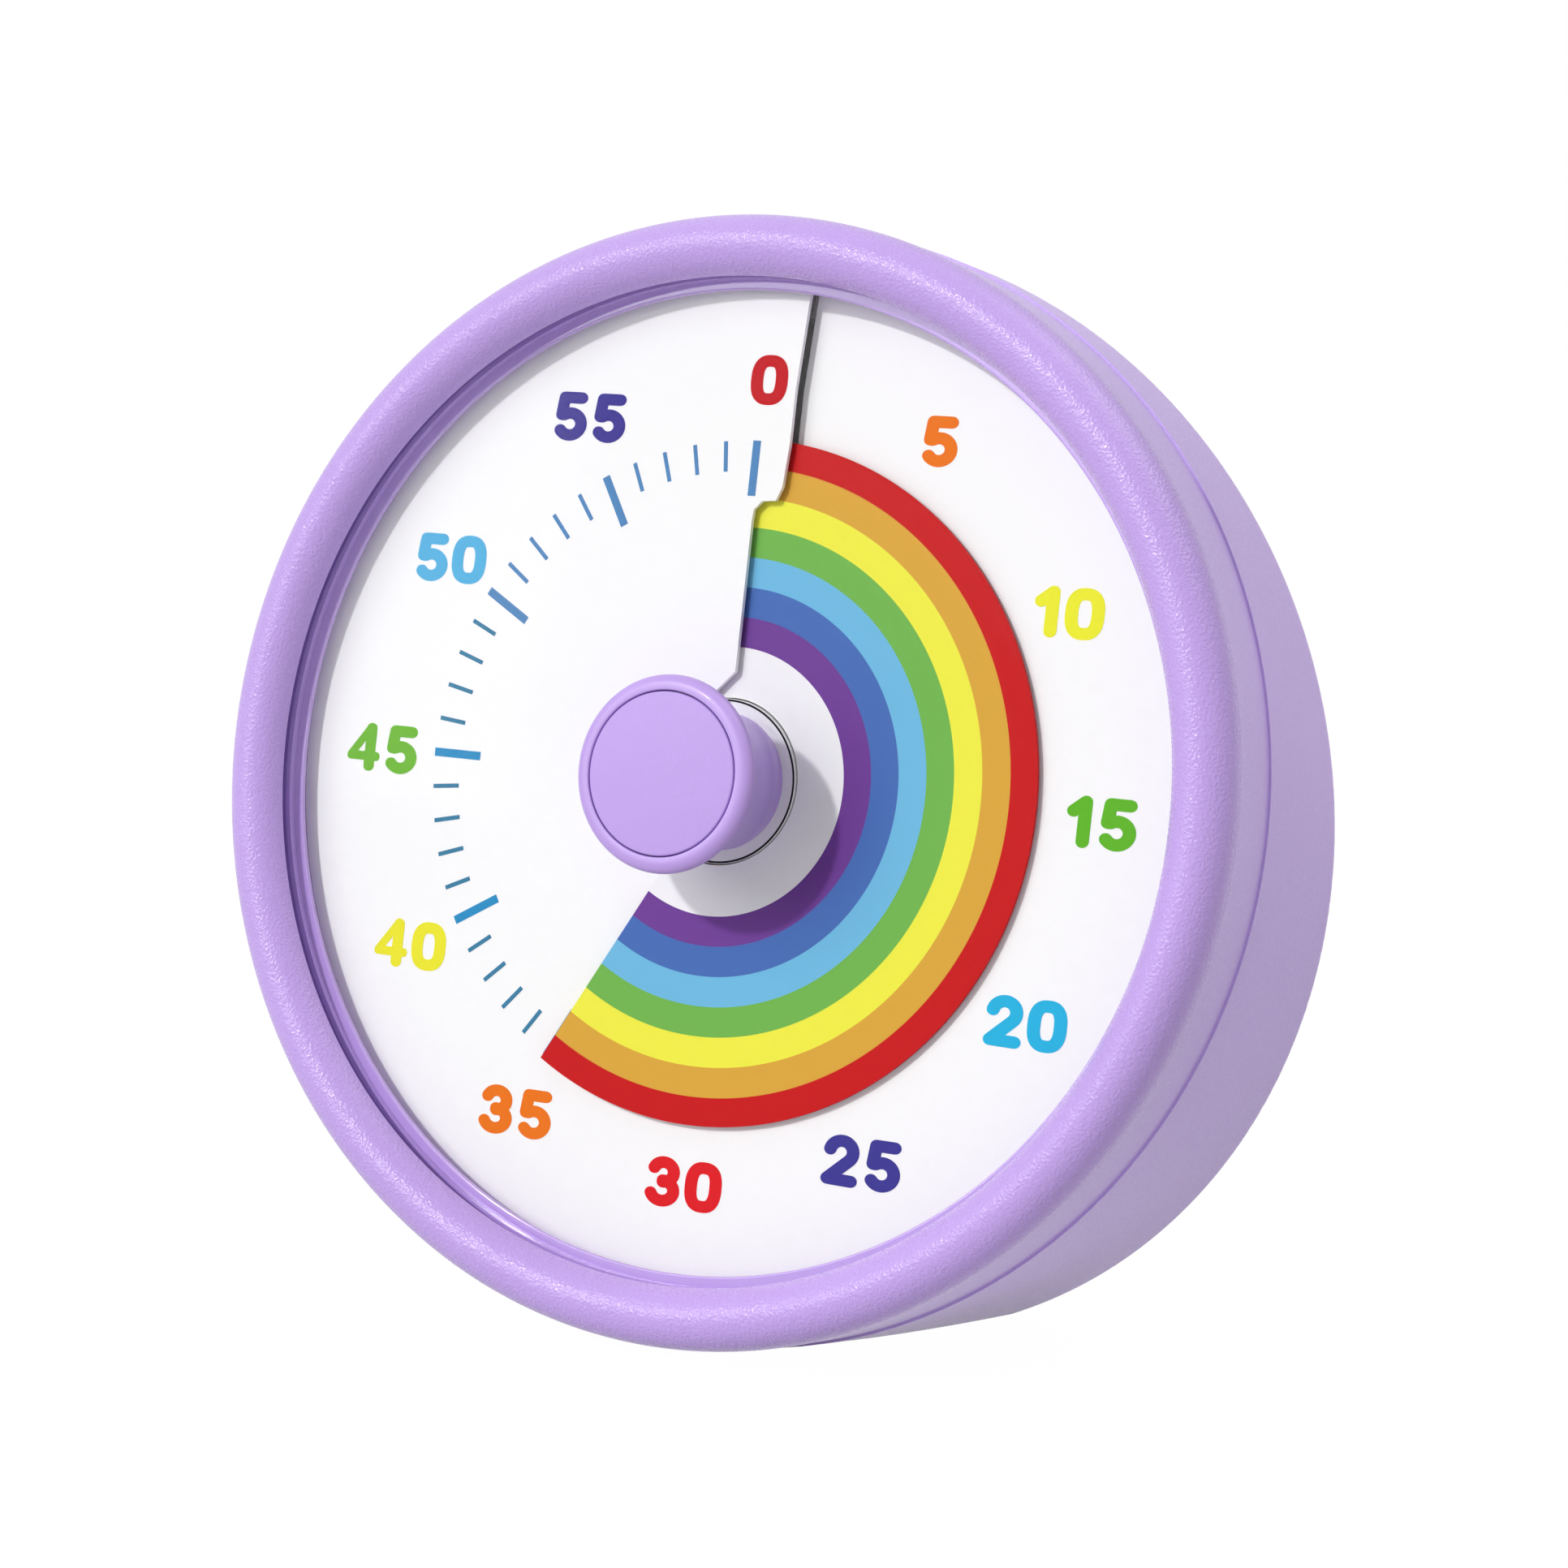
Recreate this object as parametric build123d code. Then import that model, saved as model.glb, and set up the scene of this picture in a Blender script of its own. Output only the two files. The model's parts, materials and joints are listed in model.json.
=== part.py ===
from build123d import *
import math
import os

# Wind-up visual countdown timer, in millimetres.
# The pieces are drawn in the timer's own axes: X right, Y up the dial, Z out of the dial
# towards the reader, with the origin where the winding axis meets the dial. main() then leans
# the timer back on its flat foot: +Z up, dial facing -Y, origin on the foot under the dial's middle.
# The dial and the rainbow disc are both one turn of a screw surface, so the disc slips through
# the dial's slit as it turns: it lies above the dial where it shows and below it where it hides.

# ---- case -----------------------------------------------------------------------------------
LEAN = 8.5                # the face leans back this far on its foot, degrees
REAR_SLOPE = 12.0         # rear wall against the face, degrees: the case is a wedge
SHELL_R = 44.3
SHELL_WALL = 2.0
REAR_DEPTH = 18.75        # dial to the outside of the rear wall, along the winding axis
REAR_EDGE_R = 1.4
PART_LINE = -3.5          # height of the joint between the bezel and the shell
LEDGE_WIDTH = 1.9
LEDGE_HEIGHT = 0.8
LEDGE_DROP = 0.1          # the ledge under the joint line
FOOT_CUT = 0.43           # how far the flat foot cuts into the drum at the joint line

BEZEL_STEP = 0.2          # the shell stands this far proud of the bezel's skirt
BEZEL_ROLL_W = 5.0        # width of the bezel's rounded front
BEZEL_ROLL_H = 2.85       # height of its crest over its middle
BEZEL_ROLL_Z = 2.8        # height of its middle
BEZEL_ROLL_PROUD = 0.1    # the roll bulges this far beyond the skirt
BEZEL_WEB_Z = -0.6        # underside of the bezel's solid part
POST_GAP = 0.025          # screw post to the wall and to the seat beside it
POST_ROOT = 0.4           # how far the post runs into the solid part

LENS_T = 1.1
LENS_TOP = 3.6
LENS_LIP = 0.85           # the bezel's lip reaches this far over the lens
LENS_HOLE_R = 6.2
LENS_HOLE_CHAMFER = 0.3
TRIM_RING_W = 0.7         # wall of the ring between the lens and the carrier
TRIM_RING_CHAMFER = 0.3

# ---- dial and disc --------------------------------------------------------------------------
SCREW_RISE = 1.4          # rise of the dial and of the disc in one turn
DIAL_EDGE_GAP = 0.3       # dial to the ring round it
DIAL_T = 0.4
DIAL_SEAT_W = 1.4
DIAL_SEAT_CLEARANCE = 0.05
DIAL_SEAT_GAP = 2.0       # opening in the seat under the slit, degrees
DISC_R = 27.0
DISC_T = 0.3
DISC_DROP = 0.05          # evens out the gaps above and below the disc in the slit
REST_MINUTES = 35.0       # the reading at rest
HUB_R = 6.5
HUB_TOP = 0.5
HUB_BOTTOM = -2.2
DISC_BORE_CLEARANCE = 0.1
DIAL_BORE_CLEARANCE = 0.3
SLIT_RIM_X = 3.45         # the slit's outer end, beyond the rim
SLIT_OVERRUN = 1.45
SLIT_POINTS = [           # the slit from the outside to the hub: the flap on its left lies above
    (2.9, 31.0), (2.9, 26.6), (2.67, 23.3), (2.2, 22.2), (1.0, 22.1), (0.35, 21.4),
    (0.27, 20.5), (0.27, 8.64), (-1.38, 6.9), (-1.38, 5.0),
]
SLIT_REACH = 12.0         # the dial's screw surface runs past one turn by this much, degrees
SLIT_SIDE = 14.0          # half width of the trimmed strip beside the slit

# ---- knob -----------------------------------------------------------------------------------
KNOB_R = 7.65
KNOB_NECK_R = 5.4
KNOB_TOP = 10.2
KNOB_RIM_R = 0.9
KNOB_CAP_R = 6.3
KNOB_CAP_T = 0.9
KNOB_CAP_EDGE = 0.2
KNOB_SHOULDER = 1.6       # straight part of the neck over the hub
KNOB_WAIST = (0.55, 4.4)  # a point of the flare: out from the neck, up from the hub
KNOB_FLOOR_T = 1.0        # web between the cap and the spindle's bore
KNOB_END_GAP = 0.2        # spindle's end to that web

# ---- carrier and movement -------------------------------------------------------------------
CARRIER_T = 1.2
CARRIER_RIM_W = 5.2
CARRIER_RIM_H = 0.9
CARRIER_CLEARANCE = 0.1
HUB_OPENING_R = 7.2
PLATE_R = 20.0
PLATE_DROP = 7.0          # the plates' middle below the winding axis
PLATE_T = 1.0
PLATE_SPACING = 6.8
PILLAR_PITCH_R = 18.0
PILLAR_R = 1.25
SCREW_R = 0.7             # shank of every small screw
SCREW_HEAD_R = 1.4
SCREW_HEAD_T = 0.7
SCREW_SLOT = (0.4, 0.3)   # width and depth
SCREW_CLEARANCE = 0.05
SCREW_TIP_GAP = 0.2       # a screw's tip to the bottom of its hole
PILLAR_SCREW_DEPTH = 2.2

SPINDLE_R = 2.5           # in front of the front plate
SPINDLE_MID_R = 2.0       # between the plates
SPINDLE_PIVOT_R = 1.5
SPINDLE_TAIL = 2.3        # beyond the back plate
SPINDLE_END_SHAKE = 0.1
CLIP_R = 2.4
CLIP_T = 0.4
CLIP_FROM_END = 0.5
FIT = 0.05                # radial running clearance of a shaft in its hole
PIVOT_R = 0.45
PIVOT_SHORT = 0.1         # a pivot's end below the plate's outer face
ARBOR_R = 0.8
ARBOR_SHAKE = 0.2         # an arbor's shoulder to each plate

GREAT_TEETH, GREAT_MODULE = 48, 0.45
SECOND_TEETH, SECOND_MODULE = 40, 0.40
THIRD_TEETH, THIRD_MODULE = 32, 0.35
PINION_TEETH = 8
PINION_OVERHANG = 0.2
ESCAPE_TEETH = 15
ESCAPE_R = 3.45
ESCAPE_TOOTH = 1.0
WHEEL_T = 0.7
GREAT_T = 1.0
GREAT_WINDOWS = (6.2, 2.1, 6)      # pitch radius, hole radius, count
SECOND_WINDOWS = (4.3, 1.6, 5)
THIRD_WINDOWS = (3.0, 1.0, 5)
FRICTION_SPRING_R = 4.2
FRICTION_SPRING_T = 0.3
FRICTION_SPRING_DISH = 0.35
SECOND_ARBOR_AT = -50.0   # direction of each arbor from the one before it, degrees
THIRD_ARBOR_AT = 215.0
ESCAPE_ARBOR_AT = 170.0
PALLET_ARBOR_AT = 120.0
BALANCE_ARBOR_AT = 150.0
PALLET_DISTANCE = 5.2     # escape arbor to pallet arbor
BALANCE_DISTANCE = 5.5    # pallet arbor to balance arbor
BALANCE_R = 4.5
BALANCE_RIM_W = 0.9
BALANCE_ARM_W = 1.0
STAFF_R = 0.5             # staff of the balance and of the pallet lever
ROLLER_R = 1.5
ROLLER_T = 0.3
IMPULSE_PIN_R = 0.2
IMPULSE_PIN_IN = 0.75     # the pin stands this far inside the fork's end
HAIRSPRING_R = (0.9, 3.1)
HAIRSPRING_STRIP = 0.12
HAIRSPRING_W = 0.5
HAIRSPRING_OVER = 1.4     # over the balance
PALLET_PIN_R = 0.22
PALLET_PIN_AT = 4.1       # pallet pins from the escape arbor
PALLET_PIN_ANGLE = 36.0
PALLET_ARM_W = 0.9
PALLET_T = 0.45
FORK_REACH = 4.0
FORK_W = 1.0
FORK_SLOT = (0.8, 0.5)    # depth and width

BARREL_R = 8.6
BARREL_WALL = 0.5
BARREL_BORE_GAP = 0.6
SPRING_STRIP = 0.28
SPRING_TURNS = 3
SPRING_GAP = 0.1
SPRING_INNER_GAP = 0.4

GONG_AT = (0.0, -17.5)
GONG_R = 11.5
GONG_DEPTH = 3.6
GONG_WALL = 0.6
GONG_GAP = 1.0            # back plate to the gong's rim
GONG_CORNER = 1.6
GONG_POST_R = 1.5
GONG_POST_FLANGE = 0.8
GONG_SCREW_R = 2.4
GONG_SCREW_DEPTH = 2.2
HAMMER_AT = (-7.5, -9.0)
HAMMER_HEAD_AT = (-9.55, -19.15)
HAMMER_TAIL_AT = (-2.75, -3.3)
HAMMER_T = 0.45
HAMMER_ARM_W = 1.6
HAMMER_TAIL_W = 1.0
HAMMER_HUB_R = 1.2
HAMMER_HEAD = (0.75, 1.9) # radius and reach into the gong
STUD_LENGTH = 0.95
CAM_R = 3.0
CAM_T = 1.2
CAM_NOTCH = (1.6, 1.2)
CAM_NOTCH_AT = 60.0
STRIKE_GAP = 0.3          # cam and hammer to the back plate

CASE_SCREW_ANGLES = (45, 135, 225, 315)
CASE_SCREW_END_GAP = 0.1
WELL_R = 2.4
WELL_FLOOR = 1.2
WELL_BORE_R = 1.6
MAGNET_R = 7.0
MAGNET_T = 1.8
MAGNET_SPREAD = 22.0
PAD_EXTRA = 1.4
SOUND_SLOTS = 5
SOUND_SLOT = (13.0, 2.0)
SOUND_SLOT_PITCH = 4.6
SOUND_DROP = 19.0

# ---- derived heights ------------------------------------------------------------------------
lean = math.radians(LEAN)
AXIS_HEIGHT = SHELL_R * math.cos(lean) - PART_LINE * math.sin(lean) - FOOT_CUT
SHELL_INNER_R = SHELL_R - SHELL_WALL
SKIRT_R = SHELL_R - BEZEL_STEP
SKIRT_INNER_R = SHELL_INNER_R
ROLL_MIDDLE_R = SKIRT_R + BEZEL_ROLL_PROUD - BEZEL_ROLL_W / 2
LENS_BOTTOM = LENS_TOP - LENS_T
LEDGE_Z = PART_LINE - LEDGE_DROP
CARRIER_FRONT = LEDGE_Z + CARRIER_T
SEAT_Z = CARRIER_FRONT + CARRIER_RIM_H
FRONT_PLATE_BACK = LEDGE_Z - PLATE_T
BACK_PLATE_FRONT = FRONT_PLATE_BACK - PLATE_SPACING
BACK_PLATE_BACK = BACK_PLATE_FRONT - PLATE_T
DISC_BORE_R = HUB_R + DISC_BORE_CLEARANCE
DIAL_BORE_R = HUB_R + DIAL_BORE_CLEARANCE


def roll_share(across):
    """Share of one half axis of the roll's ellipse that is left at a share of the other."""
    return math.sqrt(1 - across**2)


CREASE_Z = BEZEL_ROLL_Z - BEZEL_ROLL_H * roll_share((SKIRT_R - ROLL_MIDDLE_R) / (BEZEL_ROLL_W / 2))
LIP_R = ROLL_MIDDLE_R - BEZEL_ROLL_W / 2 * roll_share((LENS_TOP - BEZEL_ROLL_Z) / BEZEL_ROLL_H)
LENS_SEAT_R = LIP_R + LENS_LIP            # bore of the bezel behind its lip
TRIM_RING_R = LENS_SEAT_R - CARRIER_CLEARANCE - TRIM_RING_W
DIAL_R = TRIM_RING_R - DIAL_EDGE_GAP
SLIT_LINE = [(SLIT_RIM_X, DIAL_R + SLIT_OVERRUN)] + SLIT_POINTS
POST_R = (SKIRT_INNER_R - LENS_SEAT_R) / 2 - POST_GAP
CASE_SCREW_PITCH_R = (SKIRT_INNER_R + LENS_SEAT_R) / 2


def polar(distance, degrees, start=(0.0, 0.0)):
    """Point at a distance and direction from another point."""
    a = math.radians(degrees)
    return (start[0] + distance * math.cos(a), start[1] + distance * math.sin(a))


def mesh_distance(teeth, module):
    """Centre distance of a wheel and the pinion that it drives."""
    return module * (teeth + PINION_TEETH) / 2


SECOND_AT = polar(mesh_distance(GREAT_TEETH, GREAT_MODULE), SECOND_ARBOR_AT)
THIRD_AT = polar(mesh_distance(SECOND_TEETH, SECOND_MODULE), THIRD_ARBOR_AT, SECOND_AT)
ESCAPE_AT = polar(mesh_distance(THIRD_TEETH, THIRD_MODULE), ESCAPE_ARBOR_AT, THIRD_AT)
PALLET_AT = polar(PALLET_DISTANCE, PALLET_ARBOR_AT, ESCAPE_AT)
BALANCE_AT = polar(BALANCE_DISTANCE, BALANCE_ARBOR_AT, PALLET_AT)
PILLARS_AT = [polar(PILLAR_PITCH_R, a, (0, -PLATE_DROP)) for a in CASE_SCREW_ANGLES]
CASE_SCREWS_AT = [polar(CASE_SCREW_PITCH_R, a) for a in CASE_SCREW_ANGLES]

# Front face of each working level between the plates.
GREAT_Z = FRONT_PLATE_BACK - 0.5
SECOND_Z = GREAT_Z - GREAT_T - 1.0
THIRD_Z = SECOND_Z - WHEEL_T - 0.9
ESCAPE_Z = THIRD_Z - WHEEL_T - 0.6
BALANCE_Z = THIRD_Z + 0.2

rear_face = Plane(
    origin=(0, 0, -REAR_DEPTH),
    x_dir=(-1, 0, 0),
    z_dir=(0, math.sin(math.radians(REAR_SLOPE)), -math.cos(math.radians(REAR_SLOPE))),
)
down = Vector(0, -math.cos(lean), -math.sin(lean))
foot_face = Plane(origin=down * AXIS_HEIGHT, x_dir=(1, 0, 0), z_dir=down)


# ---- small makers ---------------------------------------------------------------------------
def rod(radius, low, high, at=(0.0, 0.0)):
    """Round bar parallel to the winding axis, between two heights."""
    return Pos(at[0], at[1], low) * extrude(Circle(radius), amount=high - low)


def tube(outer, inner, low, high, at=(0.0, 0.0)):
    return rod(outer, low, high, at) - rod(inner, low - 1, high + 1, at)


def turned(*lines):
    """Solid turned about the winding axis from lines in (radius, height)."""
    return revolve(Plane.XZ * make_face(Curve() + list(lines)), Axis.Z)


def screw_sheet(r_in, r_out, start, end, lift, thickness):
    """Band of a screw surface that rises clockwise, between two clockwise angles from 12."""
    height = SCREW_RISE * (end - start) / 360
    inner = Edge.make_helix(SCREW_RISE, height, r_in, lefthand=True)
    outer = Edge.make_helix(SCREW_RISE, height, r_out, lefthand=True)
    sheet = Solid.extrude(Face.make_surface_from_curves(inner, outer), Vector(0, 0, -thickness))
    return Pos(0, 0, lift + SCREW_RISE * start / 360) * Rot(0, 0, 90 - start) * sheet


def gear(teeth, module, low, thickness, bore, at, phase=0.0):
    """Spur wheel with straight-sided, well relieved teeth, one tooth centred on its phase."""
    pitch_r = module * teeth / 2
    slim = teeth > PINION_TEETH
    tip_r = pitch_r + module * (0.85 if slim else 0.65)
    root_r = pitch_r - module * (1.05 if slim else 1.15)
    root_share, tip_share = (0.32, 0.09) if slim else (0.26, 0.10)
    step = 360 / teeth
    outline = []
    for i in range(teeth):
        middle = phase + i * step
        for radius, share in ((root_r, -root_share), (tip_r, -tip_share), (tip_r, tip_share),
                              (root_r, root_share)):
            outline.append(polar(radius, middle + share * step))
    wheel = extrude(make_face(Polyline(*outline, close=True)), amount=thickness)
    if bore:
        wheel -= rod(bore, -1, thickness + 1)
    return Pos(at[0], at[1], low) * wheel


def wheel_windows(radius, window_r, count, low, thickness, at):
    """Round lightening holes of a wheel, as cutters."""
    return [rod(window_r, low - 1, low + thickness + 1, polar(radius, 360 * i / count, at))
            for i in range(count)]


def screw(head_top, tip, at):
    """Pan-head screw: its head's outer face and its tip, parallel to the winding axis."""
    up = 1 if head_top > tip else -1
    head = rod(SCREW_HEAD_R, min(head_top, head_top - up * SCREW_HEAD_T),
               max(head_top, head_top - up * SCREW_HEAD_T), at)
    shank = rod(SCREW_R, min(head_top, tip), max(head_top, tip), at)
    slot = Pos(at[0], at[1], head_top) * Box(3 * SCREW_HEAD_R, SCREW_SLOT[0], 2 * SCREW_SLOT[1])
    return head + shank - slot


def spiral_strip(r_in, r_out, turns, strip, low, high, at):
    """Flat coiled spring: a strip between two spirals."""
    def side(offset):
        count = turns * 10
        return Spline(*[polar(r_in + (r_out - r_in) * i / count + offset, 36 * i)
                        for i in range(count + 1)])
    inner, outer = side(0), side(strip)
    ends = [Line(inner @ 0, outer @ 0), Line(inner @ 1, outer @ 1)]
    face = make_face(Curve() + [inner, outer] + ends)
    return Pos(at[0], at[1], low) * extrude(face, amount=high - low)


# ---- case pieces ----------------------------------------------------------------------------
def wedge_drum(radius, inset):
    """Drum behind the joint line, cut by the rear wall moved in by inset."""
    drum = rod(radius, -2 * REAR_DEPTH, PART_LINE)
    return split(drum, bisect_by=rear_face.offset(-inset), keep=Keep.BOTTOM)


def make_rear_shell():
    outer = wedge_drum(SHELL_R, 0)
    back = outer.faces().sort_by(Axis((0, 0, 0), rear_face.z_dir))[-1]
    outer = fillet(back.edges(), REAR_EDGE_R)
    outer = split(outer, bisect_by=foot_face, keep=Keep.BOTTOM)
    inner = split(wedge_drum(SHELL_INNER_R, SHELL_WALL),
                  bisect_by=foot_face.offset(-SHELL_WALL), keep=Keep.BOTTOM)
    shell = outer - inner - rod(SHELL_INNER_R, LEDGE_Z, PART_LINE)
    ledge_in = SHELL_INNER_R - LEDGE_WIDTH
    ledge_low = LEDGE_Z - LEDGE_HEIGHT
    shell += turned(Polyline((SHELL_INNER_R + 0.5, LEDGE_Z), (ledge_in, LEDGE_Z),
                             (ledge_in, ledge_low),
                             (SHELL_INNER_R, ledge_low - LEDGE_WIDTH),
                             (SHELL_INNER_R + 0.5, ledge_low - LEDGE_WIDTH), close=True)) & outer
    for at in CASE_SCREWS_AT:
        shell += rod(WELL_R, -2 * REAR_DEPTH, LEDGE_Z, at) & outer
    pad_low = -(SHELL_WALL + PAD_EXTRA)
    for side in (-1, 1):
        shell += rear_face * rod(MAGNET_R + SHELL_WALL, pad_low, -SHELL_WALL / 2,
                                 (side * MAGNET_SPREAD, 0))
    for side in (-1, 1):
        shell -= rear_face * rod(MAGNET_R + FIT, -MAGNET_T, 1, (side * MAGNET_SPREAD, 0))
    for at in CASE_SCREWS_AT:
        shell -= rod(SCREW_R + 2 * FIT, -REAR_DEPTH, 0, at)
        shell -= rod(WELL_BORE_R, -2 * REAR_DEPTH, LEDGE_Z - WELL_FLOOR, at)
    for i in range(SOUND_SLOTS):
        across = (i - (SOUND_SLOTS - 1) / 2) * SOUND_SLOT_PITCH
        slot = Rot(0, 0, 90) * SlotOverall(*SOUND_SLOT)
        slot = extrude(slot, amount=3 * SHELL_WALL)
        shell -= rear_face * Pos(across, -SOUND_DROP, -2 * SHELL_WALL) * slot
    return shell


def make_front_bezel():
    """Ring with an elliptical roll, the lens seat behind its lip, a skirt and four screw posts."""
    half_w = BEZEL_ROLL_W / 2
    crease_at = math.degrees(math.asin((CREASE_Z - BEZEL_ROLL_Z) / BEZEL_ROLL_H))
    lip_at = 180 - math.degrees(math.asin((LENS_TOP - BEZEL_ROLL_Z) / BEZEL_ROLL_H))
    roll = EllipticalCenterArc((ROLL_MIDDLE_R, BEZEL_ROLL_Z), half_w, BEZEL_ROLL_H,
                               crease_at, arc_size=lip_at - crease_at)
    bezel = turned(
        Line((SKIRT_R, PART_LINE), roll @ 0),
        roll,
        Polyline(roll @ 1, (LENS_SEAT_R, LENS_TOP), (LENS_SEAT_R, BEZEL_WEB_Z),
                 (SKIRT_INNER_R, BEZEL_WEB_Z), (SKIRT_INNER_R, PART_LINE), (SKIRT_R, PART_LINE)),
    )
    for at in CASE_SCREWS_AT:
        bezel += rod(POST_R, LEDGE_Z, BEZEL_WEB_Z + POST_ROOT, at)
    for at in CASE_SCREWS_AT:
        bezel -= rod(SCREW_R + FIT, LEDGE_Z - 1, BEZEL_WEB_Z, at)
    return bezel


def make_case_screws():
    """The four screws that pull the bezel onto the shell, driven from behind in their wells."""
    head_face = LEDGE_Z - WELL_FLOOR - SCREW_HEAD_T
    return [screw(head_face, BEZEL_WEB_Z - CASE_SCREW_END_GAP, at) for at in CASE_SCREWS_AT]


def make_back_magnets():
    return [rear_face * rod(MAGNET_R, -MAGNET_T, 0, (side * MAGNET_SPREAD, 0)) for side in (-1, 1)]


def make_front_lens():
    lens = tube(LENS_SEAT_R - CARRIER_CLEARANCE, LENS_HOLE_R, LENS_BOTTOM, LENS_TOP)
    return chamfer(lens.edges().group_by(Axis.Z)[-1].group_by(SortBy.RADIUS)[0], LENS_HOLE_CHAMFER)


def make_trim_ring():
    outer = LENS_SEAT_R - CARRIER_CLEARANCE
    top, edge = LENS_BOTTOM, TRIM_RING_CHAMFER
    return turned(Polyline((TRIM_RING_R, SEAT_Z), (TRIM_RING_R, top - edge), (TRIM_RING_R + edge, top),
                           (outer, top), (outer, SEAT_Z), close=True))


def make_carrier():
    """Moulded plate that holds the dial in front and the movement behind."""
    outer = SHELL_INNER_R - CARRIER_CLEARANCE
    rim_in = outer - CARRIER_RIM_W
    plate = turned(Polyline((HUB_OPENING_R, LEDGE_Z), (outer, LEDGE_Z), (outer, SEAT_Z), (rim_in, SEAT_Z),
                            (rim_in - CARRIER_RIM_H, CARRIER_FRONT),
                            (HUB_OPENING_R, CARRIER_FRONT), close=True))
    for at in CASE_SCREWS_AT:
        plate -= rod(POST_R + CARRIER_CLEARANCE, LEDGE_Z - 1, SEAT_Z + 1, at)
    for at in PILLARS_AT:
        plate -= rod(SCREW_R + SCREW_CLEARANCE, LEDGE_Z - 1, CARRIER_FRONT + 1, at)
        plate -= rod(SCREW_HEAD_R + 2 * SCREW_CLEARANCE, CARRIER_FRONT - SCREW_HEAD_T,
                     CARRIER_FRONT + 1, at)
    return plate


# ---- dial and disc --------------------------------------------------------------------------
def make_dial_plate():
    """Screw-shaped dial sheet, cut along the slit so that its left side ends in a raised flap."""
    low = -SCREW_RISE / 2
    sheet = screw_sheet(DIAL_BORE_R, DIAL_R, -SLIT_REACH, 360 + SLIT_REACH, low, DIAL_T)
    top_y, bottom_y = SLIT_LINE[0][1], SLIT_LINE[-1][1]
    right = make_face(Polyline(*SLIT_LINE, (SLIT_SIDE, bottom_y), (SLIT_SIDE, top_y), close=True))
    left = make_face(Polyline(*SLIT_LINE, (-SLIT_SIDE, bottom_y), (-SLIT_SIDE, top_y), close=True))
    sheet -= extrude(right, amount=2 * SCREW_RISE, dir=(0, 0, 1))
    sheet -= extrude(left, amount=2 * SCREW_RISE, dir=(0, 0, -1))
    return sheet


def make_dial_seat():
    """Ring whose top climbs with the dial and carries its edge."""
    start = math.degrees(math.atan2(SLIT_LINE[0][0], SLIT_LINE[0][1])) + DIAL_SEAT_GAP / 2
    end = start + 360 - DIAL_SEAT_GAP
    under_dial = -SCREW_RISE / 2 - DIAL_T - DIAL_SEAT_CLEARANCE
    ramp = screw_sheet(DIAL_R - DIAL_SEAT_W, DIAL_R, start, end, under_dial, 3 * SCREW_RISE)
    return split(ramp, bisect_by=Plane.XY.offset(SEAT_Z), keep=Keep.TOP)


def make_rainbow_disc():
    """One turn of coloured sheet, its leading edge at the rest reading."""
    lead = REST_MINUTES * 6
    return screw_sheet(DISC_BORE_R, DISC_R, lead - 360, lead, -DISC_DROP, DISC_T)


def make_disc_hub():
    return tube(HUB_R, SPINDLE_R + FIT / 2, HUB_BOTTOM, HUB_TOP)


# ---- knob and spindle -----------------------------------------------------------------------
def make_knob():
    """Mushroom knob: a neck that flares into a rolled rim, with a recess for its cap."""
    base = HUB_TOP
    rim_z = KNOB_TOP - KNOB_RIM_R
    bore = SPINDLE_R + FIT / 2
    recess = KNOB_TOP - KNOB_CAP_T
    bore_top = recess - KNOB_FLOOR_T
    rim_top = (KNOB_R - KNOB_RIM_R, KNOB_TOP)
    rim_side = (KNOB_R, rim_z)
    shoulder = (KNOB_NECK_R, base + KNOB_SHOULDER)
    waist = (KNOB_NECK_R + KNOB_WAIST[0], base + KNOB_WAIST[1])
    return turned(
        Polyline((bore, bore_top), (bore, base), (KNOB_NECK_R, base), shoulder),
        Spline(shoulder, waist, rim_side, tangents=((0, 1), (0.25, 1))),
        JernArc(rim_side, (0, 1), KNOB_RIM_R, 90),
        Polyline(rim_top, (KNOB_CAP_R + FIT, KNOB_TOP), (KNOB_CAP_R + FIT, recess), (0, recess),
                 (0, bore_top), (bore, bore_top)),
    )


def make_knob_cap():
    edge = KNOB_CAP_EDGE
    top, low = KNOB_TOP, KNOB_TOP - KNOB_CAP_T
    return turned(Polyline((0, low), (KNOB_CAP_R, low), (KNOB_CAP_R, top - edge),
                           (KNOB_CAP_R - edge, top), (0, top), close=True))


def make_spindle():
    """Winding shaft: knob end, shoulder behind the front plate and rear pivot."""
    top = KNOB_TOP - KNOB_CAP_T - KNOB_FLOOR_T - KNOB_END_GAP
    rear = BACK_PLATE_BACK - SPINDLE_TAIL
    mid_low = BACK_PLATE_FRONT + SPINDLE_END_SHAKE
    front_low = FRONT_PLATE_BACK - ARBOR_SHAKE
    return turned(Polyline((0, rear), (SPINDLE_PIVOT_R, rear), (SPINDLE_PIVOT_R, mid_low),
                           (SPINDLE_MID_R, mid_low), (SPINDLE_MID_R, front_low),
                           (SPINDLE_R, front_low), (SPINDLE_R, top), (0, top), close=True))


# ---- movement -------------------------------------------------------------------------------
def movement_plate(high, low):
    plate = rod(PLATE_R, low, high, (0, -PLATE_DROP))
    for at in PILLARS_AT:
        plate -= rod(SCREW_R + SCREW_CLEARANCE, low - 1, high + 1, at)
    for at in (SECOND_AT, THIRD_AT, ESCAPE_AT, PALLET_AT, BALANCE_AT):
        plate -= rod(PIVOT_R + FIT, low - 1, high + 1, at)
    return plate


def make_front_plate():
    return movement_plate(LEDGE_Z, FRONT_PLATE_BACK) - rod(SPINDLE_R + FIT, -REAR_DEPTH, 0)


def make_back_plate():
    plate = movement_plate(BACK_PLATE_FRONT, BACK_PLATE_BACK)
    return plate - rod(SPINDLE_PIVOT_R + FIT, -REAR_DEPTH, 0)


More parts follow.
